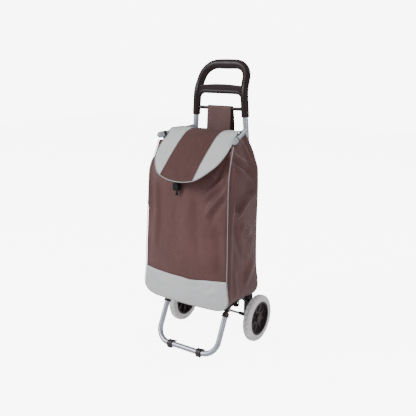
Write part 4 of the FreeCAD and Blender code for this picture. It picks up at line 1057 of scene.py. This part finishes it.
foam, n, shader = new_material("tyre_foam", (0.66, 0.64, 0.65), 0.78)
foam_place = n.add("ShaderNodeTexCoord").outputs["Object"]
foam_grain = n.add("ShaderNodeTexNoise", None, Vector=foam_place, Scale=900.0, Detail=2.0)
foam_cloud = n.add("ShaderNodeTexNoise", None, Vector=foam_place, Scale=26.0, Detail=4.0)
foam_share = n.ramp(foam_cloud.outputs["Fac"], 0.35, 0.7)
foam_tint = n.mix(foam_share, (0.60, 0.58, 0.59, 1.0), (0.72, 0.70, 0.71, 1.0))
foam.node_tree.links.new(foam_tint, shader.inputs["Base Color"])
foam_bump = n.add(
    "ShaderNodeBump", None, Height=foam_grain.outputs["Fac"], Strength=0.35, Distance=0.0003
)
foam.node_tree.links.new(foam_bump.outputs[0], shader.inputs["Normal"])

for word, mirror in (("left", -1), ("right", 1)):
    shape = bmesh.new()
    last = None
    for across, radius in TYRE_PROFILE:
        vert = shape.verts.new((mirror * TYRE_MIDDLE + across, AXLE_Y, AXLE_Z + radius))
        if last:
            shape.edges.new((last, vert))
        last = vert
    bmesh.ops.subdivide_edges(shape, edges=shape.edges[:], cuts=2)
    spin_about_axle(shape, steps=16 * TREAD_WAVES)
    for vert in shape.verts:
        across = vert.co.x - mirror * TYRE_MIDDLE
        out = Vector((0, vert.co.y - AXLE_Y, vert.co.z - AXLE_Z))
        depth = tread_cut(across, math.atan2(out.y, out.z)) * ease(TREAD_FROM, TREAD_FULL, out.length)
        vert.co -= out.normalized() * depth
    bmesh.ops.recalc_face_normals(shape, faces=shape.faces)
    for face in shape.faces:
        face.smooth = True
    tyre = new_piece(f"treaded_tyre_{word}", shape)
    tyre.data.materials.append(foam)
    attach(tyre, f"wheel_{word}")
    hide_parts(f"tyre_{word}")


# ---- moulded and metal parts -------------------------------------------------------------------
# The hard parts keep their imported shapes. Tubes are painted silver, the brackets black, the
# handle a dark glossy brown, and the hubs, knuckles, sockets and clips a satin brown.

surface, surface_in, surface_out = new_group(
    "hard_surface",
    [("Place", VECTOR, None), ("Grain", FLOAT, 600.0), ("Cloud", FLOAT, 20.0)],
    [("Grain", FLOAT), ("Cloud", FLOAT), ("Scuff", FLOAT)],
)
h = Nodes(surface)
hard_place = surface_in.outputs["Place"]
grain_scale = surface_in.outputs["Grain"]
cloud_scale = surface_in.outputs["Cloud"]
grain = h.add("ShaderNodeTexNoise", None, Vector=hard_place, Scale=grain_scale, Detail=2.0)
cloud = h.add("ShaderNodeTexNoise", None, Vector=hard_place, Scale=cloud_scale, Detail=4.0)
SCUFFS = (160.0, 160.0, 22.0)  # how closely they lie along each axis
stretched = h.add("ShaderNodeVectorMath", {"operation": "MULTIPLY"}, i0=hard_place, i1=SCUFFS)
streak = h.add("ShaderNodeTexNoise", None, Vector=stretched.outputs[0], Scale=1.0, Detail=3.0)
surface.links.new(grain.outputs["Fac"], surface_out.inputs["Grain"])
surface.links.new(cloud.outputs["Fac"], surface_out.inputs["Cloud"])
surface.links.new(h.ramp(streak.outputs["Fac"], 0.62, 0.74), surface_out.inputs["Scuff"])


def hard_finish(
    name, colour, roughness, metallic=0.0, grain=600.0, bump=0.10, scuff=0.25, shine=0.5
):
    """A hard part's finish: slight clouding of its colour, fine grain, and scuffs that dull it."""
    material, n, shader = new_material(name, colour, roughness)
    place = n.add("ShaderNodeTexCoord").outputs["Object"]
    marks = n.add("ShaderNodeGroup", {"node_tree": surface}, Place=place, Grain=grain, Cloud=22.0)
    dark = tuple(c * 0.88 for c in colour) + (1.0,)
    light = tuple(c * 1.12 for c in colour) + (1.0,)
    base = n.mix(n.ramp(marks.outputs["Cloud"], 0.3, 0.7), dark, light)
    worn = tuple(min(1.0, c * 1.15 + 0.006) for c in colour) + (1.0,)
    base = n.mix(n.math("MULTIPLY", marks.outputs["Scuff"], scuff), base, worn)
    material.node_tree.links.new(base, shader.inputs["Base Color"])
    dull = n.math("MULTIPLY_ADD", marks.outputs["Scuff"], scuff * 0.35, roughness)
    dull = n.math("MULTIPLY_ADD", marks.outputs["Cloud"], 0.10, n.math("SUBTRACT", dull, 0.05))
    material.node_tree.links.new(dull, shader.inputs["Roughness"])
    relief = n.add(
        "ShaderNodeBump", None, Height=marks.outputs["Grain"], Strength=bump, Distance=0.0002
    )
    material.node_tree.links.new(relief.outputs[0], shader.inputs["Normal"])
    shader.inputs["Metallic"].default_value = metallic
    shader.inputs["Specular IOR Level"].default_value = shine
    return material


silver_paint = hard_finish(
    "silver_paint", (0.35, 0.375, 0.44), 0.36, metallic=0.75, grain=1400.0, bump=0.15
)
zinc_plate = hard_finish("zinc_plate", (0.42, 0.42, 0.42), 0.34, metallic=1.0, bump=0.08)
glossy_brown = hard_finish(
    "glossy_brown", (0.0135, 0.0055, 0.0072), 0.40, bump=0.0, scuff=0.10, shine=0.22
)
satin_brown = hard_finish("satin_brown", (0.028, 0.0165, 0.0190), 0.44, bump=0.18, shine=0.35)
black_enamel = hard_finish("black_enamel", (0.006, 0.006, 0.007), 0.38, bump=0.16, shine=0.35)
cap_grey = hard_finish("cap_grey", (0.33, 0.35, 0.39), 0.42, bump=0.12)
lock_black = hard_finish("lock_black", (0.0025, 0.0025, 0.003), 0.40, bump=0.14, shine=0.2)

chipboard, n, shader = new_material("chipboard", (0.05, 0.045, 0.04), 0.8)
chip_place = n.add("ShaderNodeTexCoord").outputs["Object"]
chips = n.add("ShaderNodeTexVoronoi", None, Vector=chip_place, Scale=190.0)
chip_tint = n.mix(chips.outputs["Distance"], (0.030, 0.027, 0.024, 1.0), (0.075, 0.068, 0.060, 1.0))
chipboard.node_tree.links.new(chip_tint, shader.inputs["Base Color"])
chip_bump = n.add(
    "ShaderNodeBump", None, Height=chips.outputs["Distance"], Strength=0.3, Distance=0.0003
)
chipboard.node_tree.links.new(chip_bump.outputs[0], shader.inputs["Normal"])

FINISHES = (  # (finish, single nodes, nodes that have a left and a right one)
    (silver_paint, ("cross_brace", "leg_tube"), ("side_tube", "support_horn")),
    (zinc_plate, ("axle", "axle_washers", "push_nuts", "bracket_rivets", "handle_screws"), ()),
    (zinc_plate, ("cord_eyelet", "cord_lock_spring"), ("knuckle_pin",)),
    (glossy_brown, ("handle",), ()),
    (satin_brown, (), ("hub", "hub_cap", "knuckle", "leg_socket", "foot_clip")),
    (black_enamel, (), ("wheel_bracket",)),
    (cap_grey, (), ("horn_cap",)),
    (lock_black, ("cord_lock_body", "cord_lock_button", "cord_tips"), ()),
    (chipboard, ("base_board",), ()),
)
for finish, singles, pairs in FINISHES:
    for node in singles + tuple(f"{name}_{word}" for name in pairs for word in ("left", "right")):
        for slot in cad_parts[node].material_slots:
            slot.material = finish


# ---- hub skins ---------------------------------------------------------------------------------
# The moulded web of each hub is thinned to a skin between its spokes. The skin closes these
# pockets, so no light comes through them.

SKIN_PROFILE = (  # (from the tyre's middle, radius), a ring that starts and ends inside the web
    (-0.0014, 0.0215),
    (-0.0008, 0.0215),
    (-0.0008, 0.0455),
    (-0.0014, 0.0455),
)

for word, mirror in (("left", -1), ("right", 1)):
    shape = bmesh.new()
    ring = []
    for across, radius in SKIN_PROFILE:
        ring.append(shape.verts.new((mirror * (TYRE_MIDDLE + across), AXLE_Y, AXLE_Z + radius)))
    for n in range(len(ring)):
        shape.edges.new((ring[n], ring[(n + 1) % len(ring)]))
    spin_about_axle(shape, steps=96)
    bmesh.ops.recalc_face_normals(shape, faces=shape.faces)
    skin = new_piece(f"hub_skin_{word}", shape)
    skin.data.materials.append(satin_brown)
    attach(skin, f"wheel_{word}")
